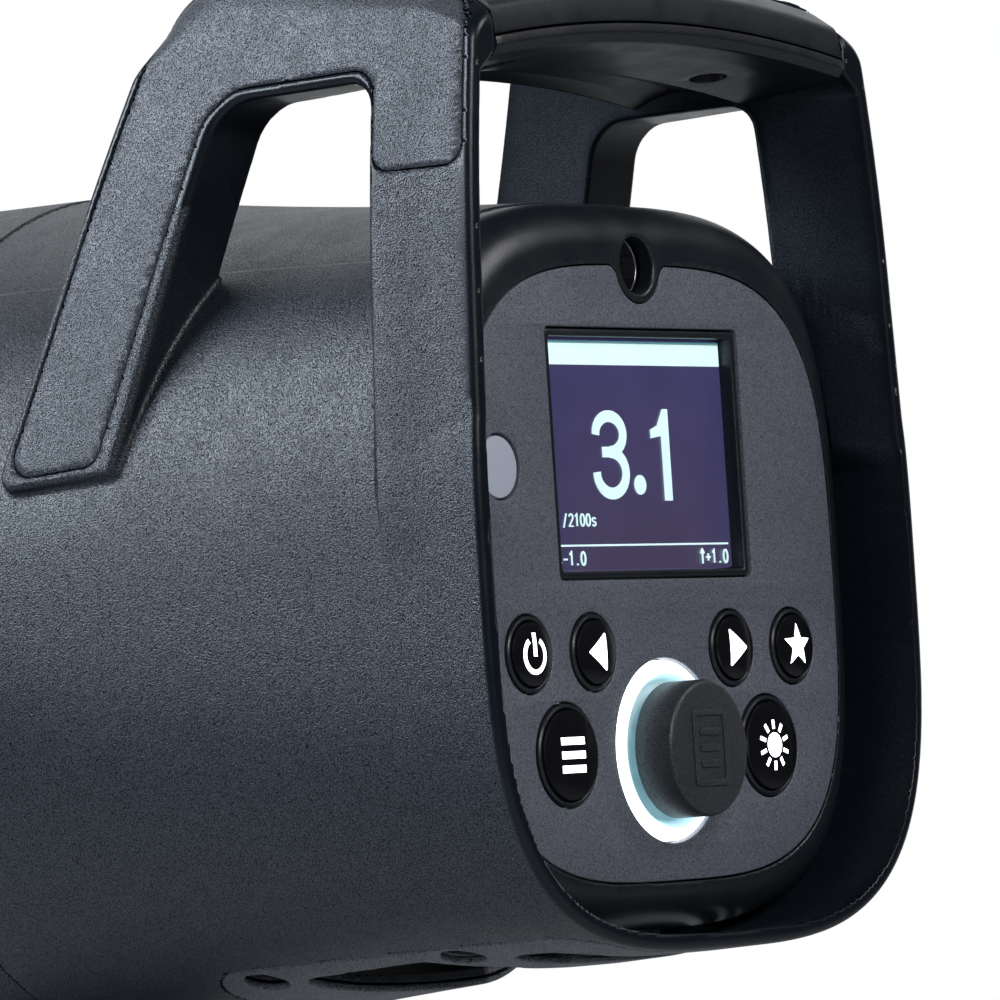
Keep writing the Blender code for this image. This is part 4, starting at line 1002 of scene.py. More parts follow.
def ceramic_material(name):
    s = Shader(name)
    tone = s.blend(s.noise(70.0, 4.0), (0.80, 0.79, 0.75), (0.90, 0.89, 0.86))
    s.set(Base_Color=tone, Roughness=s.spread(s.noise(800.0), 0.28, 0.44),
          Normal=s.bump(s.noise(1500.0), 0.00003))
    return s.material


def fibre_material(name):
    s = Shader(name)
    fibres = s.noise(1.0, 3.0, 0.7, s.stretched((900.0, 5000.0, 2600.0)))
    tone = s.blend(fibres, (0.060, 0.048, 0.040), (0.16, 0.13, 0.11))
    s.set(Base_Color=tone, Roughness=s.spread(fibres, 0.75, 0.95),
          Normal=s.bump(fibres, 0.00008))
    return s.material


def floor_material(name):
    s = Shader(name)
    tone = s.blend(s.noise(2.2, 4.0), (0.33, 0.33, 0.34), (0.36, 0.36, 0.365))
    s.set(Base_Color=tone, Roughness=s.spread(s.noise(30.0, 5.0), 0.55, 0.70),
          Normal=s.bump(s.noise(400.0), 0.0001))
    return s.material


CHARCOAL = (0.0060, 0.0095, 0.0145)
SKIN = grained_plastic("skin_plastic", CHARCOAL, 0.40, grain=0.00023, height=0.00009,
                       contrast=0.75, glint=0.10, smooth_zone="rim", smooth_roughness=0.28)
COVER = grained_plastic("cover_plastic", (0.021, 0.026, 0.034), 0.44, grain=0.00022,
                        height=0.00008, contrast=0.70, glint=0.10)
SATIN = grained_plastic("bezel_plastic", (0.0065, 0.0085, 0.0120), 0.34, grain=0.00020,
                        height=0.00001, contrast=0.20)
PANEL = grained_plastic("panel_plastic", (0.078, 0.085, 0.106), 0.46, grain=0.00022,
                        height=0.00003, contrast=0.45)
KNOB = grained_plastic("knob_plastic", (0.020, 0.022, 0.026), 0.44, grain=0.00024,
                       height=0.00003, contrast=0.35)
GLOSS = gloss_plastic("black_gloss", (0.006, 0.006, 0.008))
STEEL = metal("steel", (0.56, 0.57, 0.60), 0.26)
TUBE_STEEL = metal("tube_steel", (0.30, 0.31, 0.33), 0.30, "y")
ALUMINIUM = metal("aluminium", (0.70, 0.71, 0.73), 0.34)
BRASS = metal("brass", (0.72, 0.56, 0.26), 0.28, "x")
CAST = coated_metal("cast_black", (0.022, 0.024, 0.028))
CELL_GLASS = gloss_plastic("cell_diffuser", (0.45, 0.48, 0.58), 0.30, 0.10)
ICON = glow("icon_light", (0.90, 0.97, 1.0), 3.2)
SCREEN_TEXT = glow("screen_text", (0.62, 0.95, 0.98), 1.15)
SCREEN_HEADER = glow("screen_header", (0.66, 1.0, 0.93), 1.15)
SCREEN_EDGE = glow("screen_edge", (0.02, 0.35, 0.36), 0.6)
CLEAR = glass("clear_glass", (0.92, 0.94, 0.95), 0.10)
PANE = glass("display_pane", (0.02, 0.02, 0.03), 0.02, 0.02)
BOARD = board_material("circuit_board")
SLEEVE = sleeve_material("capacitor_sleeve")
PHOSPHOR = phosphor_material("lamp_phosphor")
CERAMIC = ceramic_material("socket_ceramic")
FIBRE = fibre_material("friction_pad")
SHOE = grained_plastic("shoe_plastic", (0.050, 0.055, 0.064), 0.44, grain=0.00026, height=0.00008,
                       contrast=0.80, glint=0.12)
BARREL = grained_plastic("barrel_plastic", CHARCOAL, 0.40, grain=0.00026, height=0.00009,
                         contrast=0.80, glint=0.10)
GRIP_UNDER = grained_plastic("grip_under_plastic", (0.0060, 0.0068, 0.0090), 0.34, grain=0.00020,
                             height=0.00001, contrast=0.20)
DARK_STEEL = metal("blackened_steel", (0.10, 0.10, 0.11), 0.34)
RING_LIGHT = ring_glow("ring_light", head(0, 0, KNOB_Z), KNOB_R, RING_R, 3.0)


# ---- the housing --------------------------------------------------------------------------
def rim_zone(x, y, z):
    """1 on smooth rims and inner faces, 0 on the grained outer faces."""
    outline = HANDLE_OUTLINE(y, z)
    hull = hull_distance(x, y, z)
    rear_leg = (z < COVER_END_Z - 0.0020) & (y > LIP_Y + 0.0040)
    near = ease((outline + 0.0021) / 0.0005) * (hull > 0.0004) * (outline < 0.0010) * ~rear_leg
    lip = ease((LIP_Y + 0.0014 - y) / 0.0005)
    inner = 0.6 * ease((-0.0008 - hull) / 0.0006)
    inner = np.maximum(inner, 0.6 * ease((side_face(y, z) - np.abs(x) - 0.0012) / 0.0005)
                       * (hull > 0.0004))
    return np.maximum(np.maximum(near, lip), inner)


def build_housing():
    low, high = (-HEAD_R, LIP_Y, -HEAD_R), (HEAD_R, SEAM_Y, HANDLE_TOP_Z)
    skin = skin_from_field("rear_skin", skin_distance, low, high, 0.0006, 0.30,
                           {"rim": rim_zone}, [(handle_hull, seat_side)])
    finish_piece(skin, SKIN, "head", ("body_shell", "handle_left", "handle_right"))
    for label, low_x, high_x in (("left", -HEAD_R, -0.030), ("right", 0.030, HEAD_R)):
        cover = skin_from_field(f"grained_cover_{label}", cover_distance, (low_x, LIP_Y, 0.0190),
                                (high_x, 0.0815, HANDLE_TOP_Z), 0.0005, 0.35, None,
                                [(cover_top, cover_side)])
        finish_piece(cover, COVER, "head", (f"handle_cover_{label}",))
    bezel = skin_from_field("pillow_bezel", bezel_piece_distance,
                            (-BEZEL_HALF_W, 0.0, BEZEL_Z - BEZEL_HALF_H),
                            (BEZEL_HALF_W, SHOULDER_Y, BEZEL_Z + BEZEL_HALF_H), 0.0005, 0.45,
                            None, [(bezel_distance, panel_seat)])
    finish_piece(bezel, SATIN, "head", ("rear_bezel",))
    shoe = skin_from_field("underside_plate", shoe_distance, (-SHOE_HALF_W, SHOE_REAR_Y, -HEAD_R),
                           (SHOE_HALF_W, SHOE_FRONT_Y, -0.0450), 0.0005, 0.35)
    finish_piece(shoe, SHOE, "head", ("base_shoe",))


def build_front_shell():
    """The round front half with its connector bay."""
    low, high, inner = SEAM_Y + GAP, PLATE_Y + 0.0060, HEAD_R - 0.0030
    section = arcs([(HEAD_R, low, 0.0004), (HEAD_R, high, 0.0014), (inner, high, 0.0005),
                    (inner, low, 0.0003)], 3)
    shell = spun("front_barrel", section, "y", head(0, 0, 0), 180, True)
    bay = slab("bay", [rounded_box_outline(0.0325, 0.0175, 0.0040, (BAY_Y, 0))], 0.050, 0.080,
               FACING_SIDE, 0.0)
    bevel(cut(shell, bay), 0.0005, 2)
    finish_piece(shell, BARREL, "head", ("front_shell",))


def rounded_rod(name, radius, low, high, axis, centre, edge=0.0003, segments=64, bore=None):
    """A disc or pin with rounded rims, or a ring when it has a bore."""
    if bore is None:
        section = arcs([(AXIS_R, low, 0), (radius, low, edge), (radius, high, edge),
                        (AXIS_R, high, 0)], 3, closed=False)
        return spun(name, section, axis, centre, segments)
    section = arcs([(radius, low, edge), (radius, high, edge), (bore, high, edge),
                    (bore, low, edge)], 3)
    return spun(name, section, axis, centre, segments, True)


def screw(name, radius, low, high, axis, centre, socket_at_high, recess=0.0012):
    """A countersunk cap with a six-sided socket in its outer end."""
    body = rounded_rod(name, radius, low, high, axis, centre, 0.0004, 48)
    sign, end = (1, high) if socket_at_high else (-1, low)
    across = 0.55 * radius
    hexagon = [(across, end - sign * recess), (across, end + sign * 0.001)]
    bm = turned([(AXIS_R, hexagon[0][1])] + hexagon + [(AXIS_R, hexagon[1][1])], axis, centre, 6)
    return cut(body, object_from_bmesh("socket", bm, 20))


# ---- the grip between the handles ---------------------------------------------------------
def grip_sweep(name, section, material, node):
    """Sweep a (y, z) section, given from the parting line, along the grip's shallow arch."""
    rings = []
    for i in range(49):
        x = GRIP_END * (i / 24 - 1) * 0.994
        drop = GRIP_ARCH * (x / 0.050) ** 2
        rings.append([head(x, y, PART_Z + z - drop) for y, z in section])
    piece = object_from_bmesh(name, loft(rings), 30)
    return finish_piece(piece, material, "head", (node,)) if node else piece


def build_grip():
    upper = arcs([(-0.0100, GAP, 0.0003), (-0.0092, 0.0052, 0.0025), (-0.0040, 0.0088, 0.006),
                  (0.0110, 0.0112, 0.030), (0.0262, 0.0126, 0.004), (0.0312, 0.0092, 0.003),
                  (0.0320, 0.0040 + GAP, 0.0003)], 5)
    lower = arcs([(-0.0100, 0, 0.0003), (0.0320, 0.0040, 0.0003), (0.0318, -0.0025, 0.001),
                  (0.0302, -0.0052, 0.0012), (0.0258, -0.0036, 0.002), (0.0210, -0.0026, 0.004),
                  (0.0152, -0.0032, 0.002), (0.0104, -0.0054, 0.0018), (0.0030, -0.0046, 0.010),
                  (-0.0040, -0.0039, 0.010), (-0.0086, -0.0031, 0.0004), (-0.0092, -0.0029, 0.0003),
                  (-0.0102, -0.0015, 0.0006)], 4)
    grip_sweep("grip_upper_shell", upper, SATIN, "grip_upper")
    under = grip_sweep("grip_lower_shell", lower, GRIP_UNDER, None)
    wells = []
    for _, x in GRIP_SCREWS:
        bm = turned([(0.0032, PART_Z - 0.020), (0.0032, PART_Z + 0.0005)], "z",
                    head(x, GRIP_SCREW_Y, 0))
        wells.append(object_from_bmesh("well", bm))
    bevel(cut(under, *wells), 0.0004, 2, 50)
    finish_piece(under, GRIP_UNDER, "head", ("grip_lower",))
    for label, x in GRIP_SCREWS:
        cap = screw(f"grip_cap_screw_{label}", 0.0029, PART_Z - 0.0040, PART_Z - 0.0006, "z",
                    head(x, GRIP_SCREW_Y, 0), False)
        finish_piece(cap, DARK_STEEL, "head", (f"grip_screw_{label}",))


def build_shoe_screws():
    for i, (x, y) in enumerate(SHOE_SCREWS):
        half_w, half_h, power = shell_sizes(y)
        top = SHOE_SEAT - half_h * (1 - (abs(x) / half_w) ** power) ** (1 / power)
        cap = screw(f"underside_screw_{i + 1}", 0.0032, top, top + 0.0060, "z", head(x, y, 0),
                    False)
        finish_piece(cap, DARK_STEEL, "head", (f"shoe_screw_{i + 1}",))


# ---- the control panel --------------------------------------------------------------------
def squared_oval(half_w, half_h, power, centre_z, count=160):
    points = []
    for i in range(count):
        turn = 2 * math.pi * (i + 0.5) / count
        c, s = math.cos(turn), math.sin(turn)
        reach = (abs(c) ** power + abs(s) ** power) ** (-1 / power)
        points.append((half_w * reach * c, centre_z + half_h * reach * s))
    return points


def panel_outline():
    """A squared-off oval with a notch for the tongue round the umbrella hole."""
    top = PANEL_Z + PANEL_HALF_H
    rise = top - NOTCH_FILLET - UMBRELLA_Z
    side = math.sqrt((NOTCH_R + NOTCH_FILLET) ** 2 - rise ** 2)
    lean = math.degrees(math.atan2(rise, side))
    shoulder = arc_points((side, top - NOTCH_FILLET), NOTCH_FILLET, NOTCH_FILLET, 90, 180 + lean, 6)
    mouth = arc_points((0, UMBRELLA_Z), NOTCH_R, NOTCH_R, lean, -180 - lean, 24)
    far = [(-x, z) for x, z in shoulder[::-1]]
    points = squared_oval(PANEL_HALF_W, PANEL_HALF_H, PANEL_POWER, PANEL_Z)
    kept = [p for p in points if abs(p[0]) > side + 0.0003 or p[1] < 0]
    first = next(i for i, p in enumerate(kept) if p[0] < 0 and p[1] > 0)
    return kept[:first] + shoulder + mouth[1:-1] + far + kept[first:]


def build_panel():
    holes = [rounded_box_outline(DISPLAY_HALF_W, DISPLAY_HALF_H, 0.0011, (0, DISPLAY_Z))]
    holes += [circle(radius + GAP, (x, z)) for x, z, radius in BUTTONS.values()]
    holes.append(circle(RING_R + GAP, (0, KNOB_Z), 128))
    holes.append(circle(CELL[2] + GAP, CELL[:2]))
    panel = slab("panel_face", [panel_outline()] + holes, 0.0, PANEL_T, edge=0.00025)
    finish_piece(panel, PANEL, "head", ("control_panel",))
    x, z, radius = CELL
    dome = [(radius, 0.0040), (radius, 0.0008), (radius - 0.0002, 0.0004)]
    dome += [(radius * k / 10, 0.0002 + 0.0002 * (k / 10) ** 2) for k in range(9, 0, -1)]
    cell = spun("sensor_dome", dome, "y", head(x, 0, z))
    finish_piece(cell, CELL_GLASS, "head", ("photocell_window",))
    tube = rounded_rod("umbrella_shaft_tube", UMBRELLA_R + UMBRELLA_WALL, TUBE_END_Y, PLATE_Y - GAP,
                       "y", head(0, 0, UMBRELLA_Z), 0.00025, 72, UMBRELLA_R)
    finish_piece(tube, TUBE_STEEL, "head", ("umbrella_tube",))


# ---- the display --------------------------------------------------------------------------
def fuse(pieces):
    """The union of several solids, under the first one's name."""
    return cut(pieces[0], *pieces[1:], operation="UNION") if len(pieces) > 1 else pieces[0]


def join(name, pieces):
    """One object out of several."""
    bm = bmesh.new()
    for piece in pieces:
        bm.from_mesh(piece.data)
        bpy.data.objects.remove(piece, do_unlink=True)
    return object_from_bmesh(name, bm, 30)


TEXT_DEPTH = (0.00245, 0.00265)
SCREEN_LINES = (            # text, left end, foot, width and pitch of a character, stroke
    ("/2100s", -0.0220, 0.0084, 0.00108, 0.00160, 0.00022),
    ("v-1.0", -0.0243, 0.0021, 0.00118, 0.00165, 0.00028),
    ("^+1.0", 0.0163, 0.0021, 0.00118, 0.00168, 0.00028),
)
GLYPHS = {      # strokes in a box 1 wide and 1.8 high
    "0": [arc_points((0.5, 0.9), 0.5, 0.9, 90, 445, 16)],
    "1": [[(0.15, 1.45), (0.55, 1.8), (0.55, 0.0)]],
    "2": [arc_points((0.5, 1.32), 0.48, 0.48, 165, -25, 8) + [(0.0, 0.0), (1.0, 0.0)]],
    "s": [arc_points((0.5, 0.93), 0.42, 0.30, 20, 270, 8)[:-1]
          + arc_points((0.5, 0.32), 0.42, 0.32, 90, -160, 8)],
    "-": [[(0.1, 0.8), (0.9, 0.8)]],
    "+": [[(0.0, 0.8), (1.0, 0.8)], [(0.5, 0.3), (0.5, 1.3)]],
    "/": [[(0.0, -0.2), (0.8, 1.9)]],
    ".": [[(0.35, 0.10), (0.65, 0.10)]],
    "^": [[(0.5, -0.1), (0.5, 1.85)], [(0.08, 1.35), (0.5, 1.9), (0.92, 1.35)]],
    "v": [[(0.5, 1.85), (0.5, -0.1)], [(0.08, 0.45), (0.5, -0.1), (0.92, 0.45)]],
}


def bar(left, right, low, high):
    return [(left, low), (right, low), (right, high), (left, high)]


def strokes(outlines):
    """Thin lit solids, one to an outline."""
    return [slab("stroke", [outline], *TEXT_DEPTH, edge=0.00002) for outline in outlines]


def small_text(text, x, z, width, pitch, stroke):
    """Outlines of a short line of characters whose bottom left corner is (x, z)."""
    outlines = []
    for i, character in enumerate(text):
        for path in GLYPHS[character]:
            placed = [(x + i * pitch + u * width, z + v * width) for u, v in path]
            outlines.append(ribbon(placed, stroke))
    return outlines


def big_reading():
    """The large 3.1 in the middle of the screen."""
    left, right, low, high = -0.0126, -0.0026, 0.0124, 0.0274
    middle, half, stroke = (left + right) / 2, (right - left) / 2 - 0.0009, 0.0019
    waist = low + 0.53 * (high - low)
    upper = arc_points((middle, (waist + high - 0.0012) / 2), half * 0.94,
                       (high - 0.0012 - waist) / 2, 182, -90, 20)
    lower = arc_points((middle, (waist + low + 0.0012) / 2), half,
                       (waist - low - 0.0012) / 2, 90, -182, 22)
    three = [ribbon(upper, stroke), ribbon(lower, stroke)]
    three.append(ribbon([(middle - 0.0022, waist), (middle + 0.0006, waist)], stroke * 0.9))
    dot = circle(0.0016, (0.0003, low + 0.0026))
    stem = [(0.0072, low), (0.0093, low), (0.0093, high), (0.0079, high), (0.0062, high - 0.0027),
            (0.0042, high - 0.0034), (0.0042, high - 0.0048), (0.0072, high - 0.0044)]
    return three, [dot, stem]


def build_display():
    half_w, half_h = DISPLAY_HALF_W - GAP, DISPLAY_HALF_H - GAP
    pane_w, pane_h = half_w - DISPLAY_RIM, half_h - DISPLAY_RIM
    centre = (0, DISPLAY_Z)
    outer = rounded_box_outline(half_w, half_h, 0.0009, centre)
    inner = rounded_box_outline(pane_w, pane_h, 0.0006, centre)
    surround = slab("screen_surround", [outer, inner], 0.0004, 0.0060, edge=0.00035)
    finish_piece(surround, SATIN, "head", ("display_frame",))
    pane = rounded_box_outline(pane_w - GAP, pane_h - GAP, 0.0006, centre)
    front = slab("screen_pane", [pane], 0.0014, 0.0024, edge=0.0001)
    finish_piece(front, PANE, "head", ("display_glass",))
    corner = head(half_w, 0, DISPLAY_Z + half_h)
    screen = slab("screen_panel", [pane], 0.0027, 0.0060, edge=0.0001)
    low, high = corner.copy(), corner
    low.x, low.z = -corner.x, corner.z - 2 * half_h
    finish_piece(screen, screen_glow("screen_light", low, high), "head",
                 ("display_module",))
    three, rest = big_reading()
    words = list(rest)
    for line in SCREEN_LINES:
        words += small_text(*line)
    words.append(bar(-0.0245, 0.0245, 0.0051, 0.0054))
    reading = join("screen_reading", [fuse(strokes(three))] + strokes(words))
    finish_piece(reading, SCREEN_TEXT, "head")
    for name, low, high, material in (("screen_header_bar", 0.0345, 0.0380, SCREEN_HEADER),
                                      ("screen_header_edge", 0.0381, 0.0384, SCREEN_EDGE)):
        header = join(name, strokes([bar(SCREEN_LEFT, SCREEN_RIGHT, low, high)]))
        finish_piece(header, material, "head")


# ---- buttons and selector -----------------------------------------------------------------
BUTTON_RIM = 0.0011
BUTTON_PROUD = 0.0013


def dome_depth(radius, reach):
    """Depth of a button's glossy face, from the panel's plane, at a distance from its axis."""
    return -BUTTON_PROUD + 0.0005 * (reach / (radius - BUTTON_RIM)) ** 2.4


def icon(name, outlines, centre, radius):
    """Lit shapes that follow the button's dome and stand a hair proud of it."""
    cx, cz = centre
    marks = [slab("mark", [outline], -0.0001, 0.0001, edge=0.00003) for outline in outlines]
    piece = join(name, marks)
    bm = bmesh.new()
    bm.from_mesh(piece.data)
    bmesh.ops.triangulate(bm, faces=bm.faces)
    long_edges = [edge for edge in bm.edges if edge.calc_length() > 0.0010]
    bmesh.ops.subdivide_edges(bm, edges=long_edges, cuts=4, use_grid_fill=True)
    for vert in bm.verts:
        u, v = vert.co.x - cx, vert.co.z - AXIS_Z - cz
        vert.co.y += dome_depth(radius, math.hypot(u, v)) + 0.00003
    bm.to_mesh(piece.data)
    bm.free()
    return piece


def button_marks(name, x, z):
    """Outlines of a button's symbol."""
    def spot(points):
        return [(x + u, z + v) for u, v in points]

    if name == "power_button":
        return [spot(ribbon(arc_points((0, -0.0002), 0.0027, 0.0027, 122, 418, 24), 0.0008)),
                spot(ribbon([(0, 0.0034), (0, 0.0016), (0, -0.0004)], 0.0009))]
    if name in ("previous_button", "next_button"):
        way = -1 if name == "previous_button" else 1
        return [spot(arcs([(way * 0.0029, 0, 0.0002), (-way * 0.0020, 0.0032, 0.0002),
                           (-way * 0.0020, -0.0032, 0.0002)], 2))]
    if name == "favourite_button":
        star = []
        for i in range(10):
            reach = 0.0037 if i % 2 == 0 else 0.0016
            turn = math.pi / 2 + math.pi * i / 5
            star.append((reach * math.cos(turn), reach * math.sin(turn)))
        return [spot(star)]
    if name == "menu_button":
        across = (-0.0032, -0.0016, 0, 0.0016, 0.0032)
        return [spot([(u, v - 0.0006) for u in across] + [(u, v + 0.0006) for u in across[::-1]])
                for v in (-0.00225, 0, 0.00225)]
    rays = [circle(0.00205, (0, 0), 40)]
    for i in range(10):
        turn = 2 * math.pi * i / 10 + math.pi / 2
        rays.append(ribbon([(r * math.cos(turn), r * math.sin(turn))
                            for r in (0.00265, 0.0034, 0.00415)], 0.00065))
    return [spot(points) for points in rays]


def build_buttons():
    for name, (x, z, radius) in BUTTONS.items():
        centre = head(x, 0, z)
        inner = radius - BUTTON_RIM
        face = [(inner * k / 12, dome_depth(radius, inner * k / 12)) for k in range(1, 13)]
        face[0] = (AXIS_R, face[0][1])
        edge = face[-1][1]
        section = face + [(inner + 0.0001, edge + 0.0004), (inner + 0.0001, PANEL_T + GAP),
                          (radius - 0.0002, PANEL_T + GAP), (radius - 0.0002, PANEL_T + 0.0014)]
        cap = spun(f"{name}_dome", section, "y", centre, 72)
        finish_piece(cap, GLOSS, name, (name,))
        rim = arcs([(radius, -0.0002, 0.0007), (inner + 0.0003, -0.0006, 0.0003),
                    (inner + 0.0003, PANEL_T, 0.0001), (radius, PANEL_T, 0.0001)], 4)
        ring = spun(f"{name}_rim", rim, "y", centre, 72, True)
        finish_piece(ring, SATIN, name, (name,))
        marks = icon(f"{name}_symbol", button_marks(name, x, z), (x, z), radius)
        finish_piece(marks, ICON, name)


def build_selector():
    centre = head(0, 0, KNOB_Z)
    section = arcs([(RING_R, 0.0006, 0.0004), (RING_R, 0.0050, 0.0003), (0.0050, 0.0050, 0.0003),
                    (0.0050, 0.0020, 0.0003), (KNOB_R + 0.0004, 0.0014, 0.0004),
                    (KNOB_R + 0.0014, -0.0004, 0.0003), (RING_R - 0.0010, -0.0004, 0.0006)], 3)
    ring = spun("selector_light", section, "y", centre, 144, True)
    finish_piece(ring, RING_LIGHT, "head", ("knob_light_ring",))
    face = -KNOB_PROUD + 0.0003
    section = arcs([(AXIS_R, face, 0), (KNOB_R, face, 0.0009), (KNOB_R, -0.0007, 0.0004),
                    (0.0092, -0.0007, 0.0003), (0.0092, -0.0060, 0.0003), (0.0033, -0.0060, 0.0002),
                    (0.0033, face + 0.0014, 0), (AXIS_R, face + 0.0014, 0)], 4, closed=False)
    knob = spun("selector_knob_body", section, "y", centre, 144)
    half_w, half_h, bar = 0.0048, 0.0062, 0.0010
    frame_out = rounded_box_outline(half_w, half_h, 0.0008, (0, KNOB_Z))
    frame_in = rounded_box_outline(half_w - bar, half_h - bar, 0.0005, (0, KNOB_Z))
    relief = [slab("relief", [frame_out, frame_in], -KNOB_PROUD, face + 0.0004, edge=0.0001)]
    for v in (-0.0026, 0.0, 0.0026):
        ridge = rounded_box_outline(half_w - 0.0020, 0.0006, 0.0003, (0, KNOB_Z + v))
        relief.append(slab("relief", [ridge], -KNOB_PROUD, face + 0.0004, edge=0.0001))
    cut(knob, *relief, operation="UNION")
    finish_piece(knob, KNOB, "selector_knob", ("selector_knob",))


# ---- front end ----------------------------------------------------------------------------
def build_front_plate():
    outer = HEAD_R - 0.0030 - GAP
    holes = [circle(UMBRELLA_R, (0, UMBRELLA_Z), 48)]
    for i in range(PLATE_VENTS):
        turn = 2 * math.pi * (i + 0.5) / PLATE_VENTS
        if abs(turn - math.pi / 2) >= 0.45:     # the umbrella hole takes one vent's place
            holes.append(circle(0.0032, (0.047 * math.cos(turn), 0.047 * math.sin(turn)), 40))
    plate = slab("front_chassis_face", [circle(outer, (0, 0), 144)] + holes, PLATE_Y,
                 PLATE_Y + PLATE_T, edge=0.0003)
    finish_piece(plate, ALUMINIUM, "head", ("front_plate",))


def build_bayonet():
    centre = head(0, 0, 0)
    low = PLATE_Y + PLATE_T + GAP
    section = arcs([(BAYONET_R, low, 0.0004), (BAYONET_R, NOSE_Y, 0.0008),
                    (BAYONET_BORE + 0.002, NOSE_Y, 0.0006),
                    (BAYONET_BORE, NOSE_Y - 0.002, 0.0006), (BAYONET_BORE, low, 0.0004)], 3)
    ring = spun("bayonet_mount_ring", section, "y", centre, 180, True)
    slots = []
    for i in range(BAYONET_SLOTS):
        turn = 2 * math.pi * i / BAYONET_SLOTS + math.pi / 2
        slot = slab("slot", [rounded_box_outline(0.0060, 0.0055, 0.0015, (0, 0.0555))],
                    NOSE_Y - 0.0100, NOSE_Y + 0.0020, edge=0.0)
        slot.data.transform(Matrix.Translation(centre) @ Matrix.Rotation(turn, 4, "Y")
                            @ Matrix.Translation(-centre))
        slots.append(slot)
    bevel(cut(ring, *slots), 0.0003, 2)
    finish_piece(ring, ALUMINIUM, "head", ("bayonet_ring",))


def build_locking_ring():
    """The turning ring, with a band of finger ribs round it."""
    centre = head(0, 0, 0)
    low, high = PLATE_Y + 0.0060 + GAP, NOSE_Y - 0.0060
    section = arcs([(LOCK_BORE, low, 0.0003), (LOCK_R - 0.0015, low, 0.0006),
                    (LOCK_R, low + 0.0015, 0.0006), (LOCK_R, low + 0.0040, 0),
                    (LOCK_R, high - 0.0040, 0), (LOCK_R, high - 0.0010, 0.0008),
                    (LOCK_R - 0.0010, high, 0.0005), (LOCK_BORE, high, 0.0003)], 3)
    rings = []
    count = 360
    for radius, distance in section:
        ring = []
        for i in range(count):
            turn = 2 * math.pi * i / count
            wave = 0.5 - 0.5 * math.cos(LOCK_RIBS * turn)
            band = min(max((distance - low - 0.0020) / 0.002, 0), 1)
            band *= min(max((high - 0.0020 - distance) / 0.002, 0), 1)
            reach = radius - LOCK_RIB_DEPTH * wave * band * (radius > LOCK_R - 0.0003)
            ring.append(centre + Vector((reach * math.sin(turn), distance, reach * math.cos(turn))))
        rings.append(ring)
    piece = object_from_bmesh("ribbed_locking_ring", loft(rings, True), 35)
    finish_piece(piece, SATIN, "locking_ring", ("locking_ring",))


def swept_tube(name, path, radius, segments=24):
    rings = []
    middle = head(0, 0, 0)
    for i, here in enumerate(path):
        heading = (path[min(i + 1, len(path) - 1)] - path[max(i - 1, 0)]).normalized()
        outward = here - middle
        outward.y = 0
        side = heading.cross(outward.normalized()).normalized()
        lift = side.cross(heading).normalized()
        turns = [2 * math.pi * k / segments for k in range(segments)]
        rings.append([here + (side * math.cos(t) + lift * math.sin(t)) * radius for t in turns])
    return object_from_bmesh(name, loft(rings), 50)


def build_lamp():
    centre = head(0, 0, 0)
    low = PLATE_Y + PLATE_T + GAP
    socket = rounded_rod("ceramic_socket", 0.0330, low, low + SOCKET_T, "y", centre, 0.0006, 128,
                         0.0185)
    finish_piece(socket, CERAMIC, "head", ("lamp_socket",))
    lamp = rounded_rod("modelling_led", 0.0150, low, low + 0.0030, "y", centre, 0.0006, 96)
    finish_piece(lamp, PHOSPHOR, "head", ("modelling_lamp",))
    foot, crest = low + SOCKET_T + GAP, low + 0.0130
    path = []
    for i in range(61):
        turn = math.radians(120 + 300 * i / 60)
        path.append(head(FLASH_RING_R * math.cos(turn), crest, FLASH_RING_R * math.sin(turn)))
    legs = []
    for end, step in ((path[0], -1), (path[-1], 1)):
        legs.append([end + Vector((0, (foot - crest) * k / 5, 0)) for k in range(1, 6)][::step])
    tube = swept_tube("xenon_tube", legs[0] + path + legs[1], FLASH_TUBE_R)
    finish_piece(tube, CLEAR, "head", ("flash_tube",))
    skin = []
    for radius, height, way in ((0.0395, 0.0180, 1), (0.0372, 0.0157, -1)):
        turns = [math.pi / 2 * i / 16 for i in range(16, -1, -1)]
        wall = [(max(radius * math.cos(t), 0.0010), low + 0.0080 + height * math.sin(t))
                for t in turns] + [(radius, low)]
        skin += wall[::way]
    dome = object_from_bmesh("glass_cover_dome", turned(skin, "y", centre, 128, True), 50)
    finish_piece(dome, CLEAR, "head", ("glass_dome",))


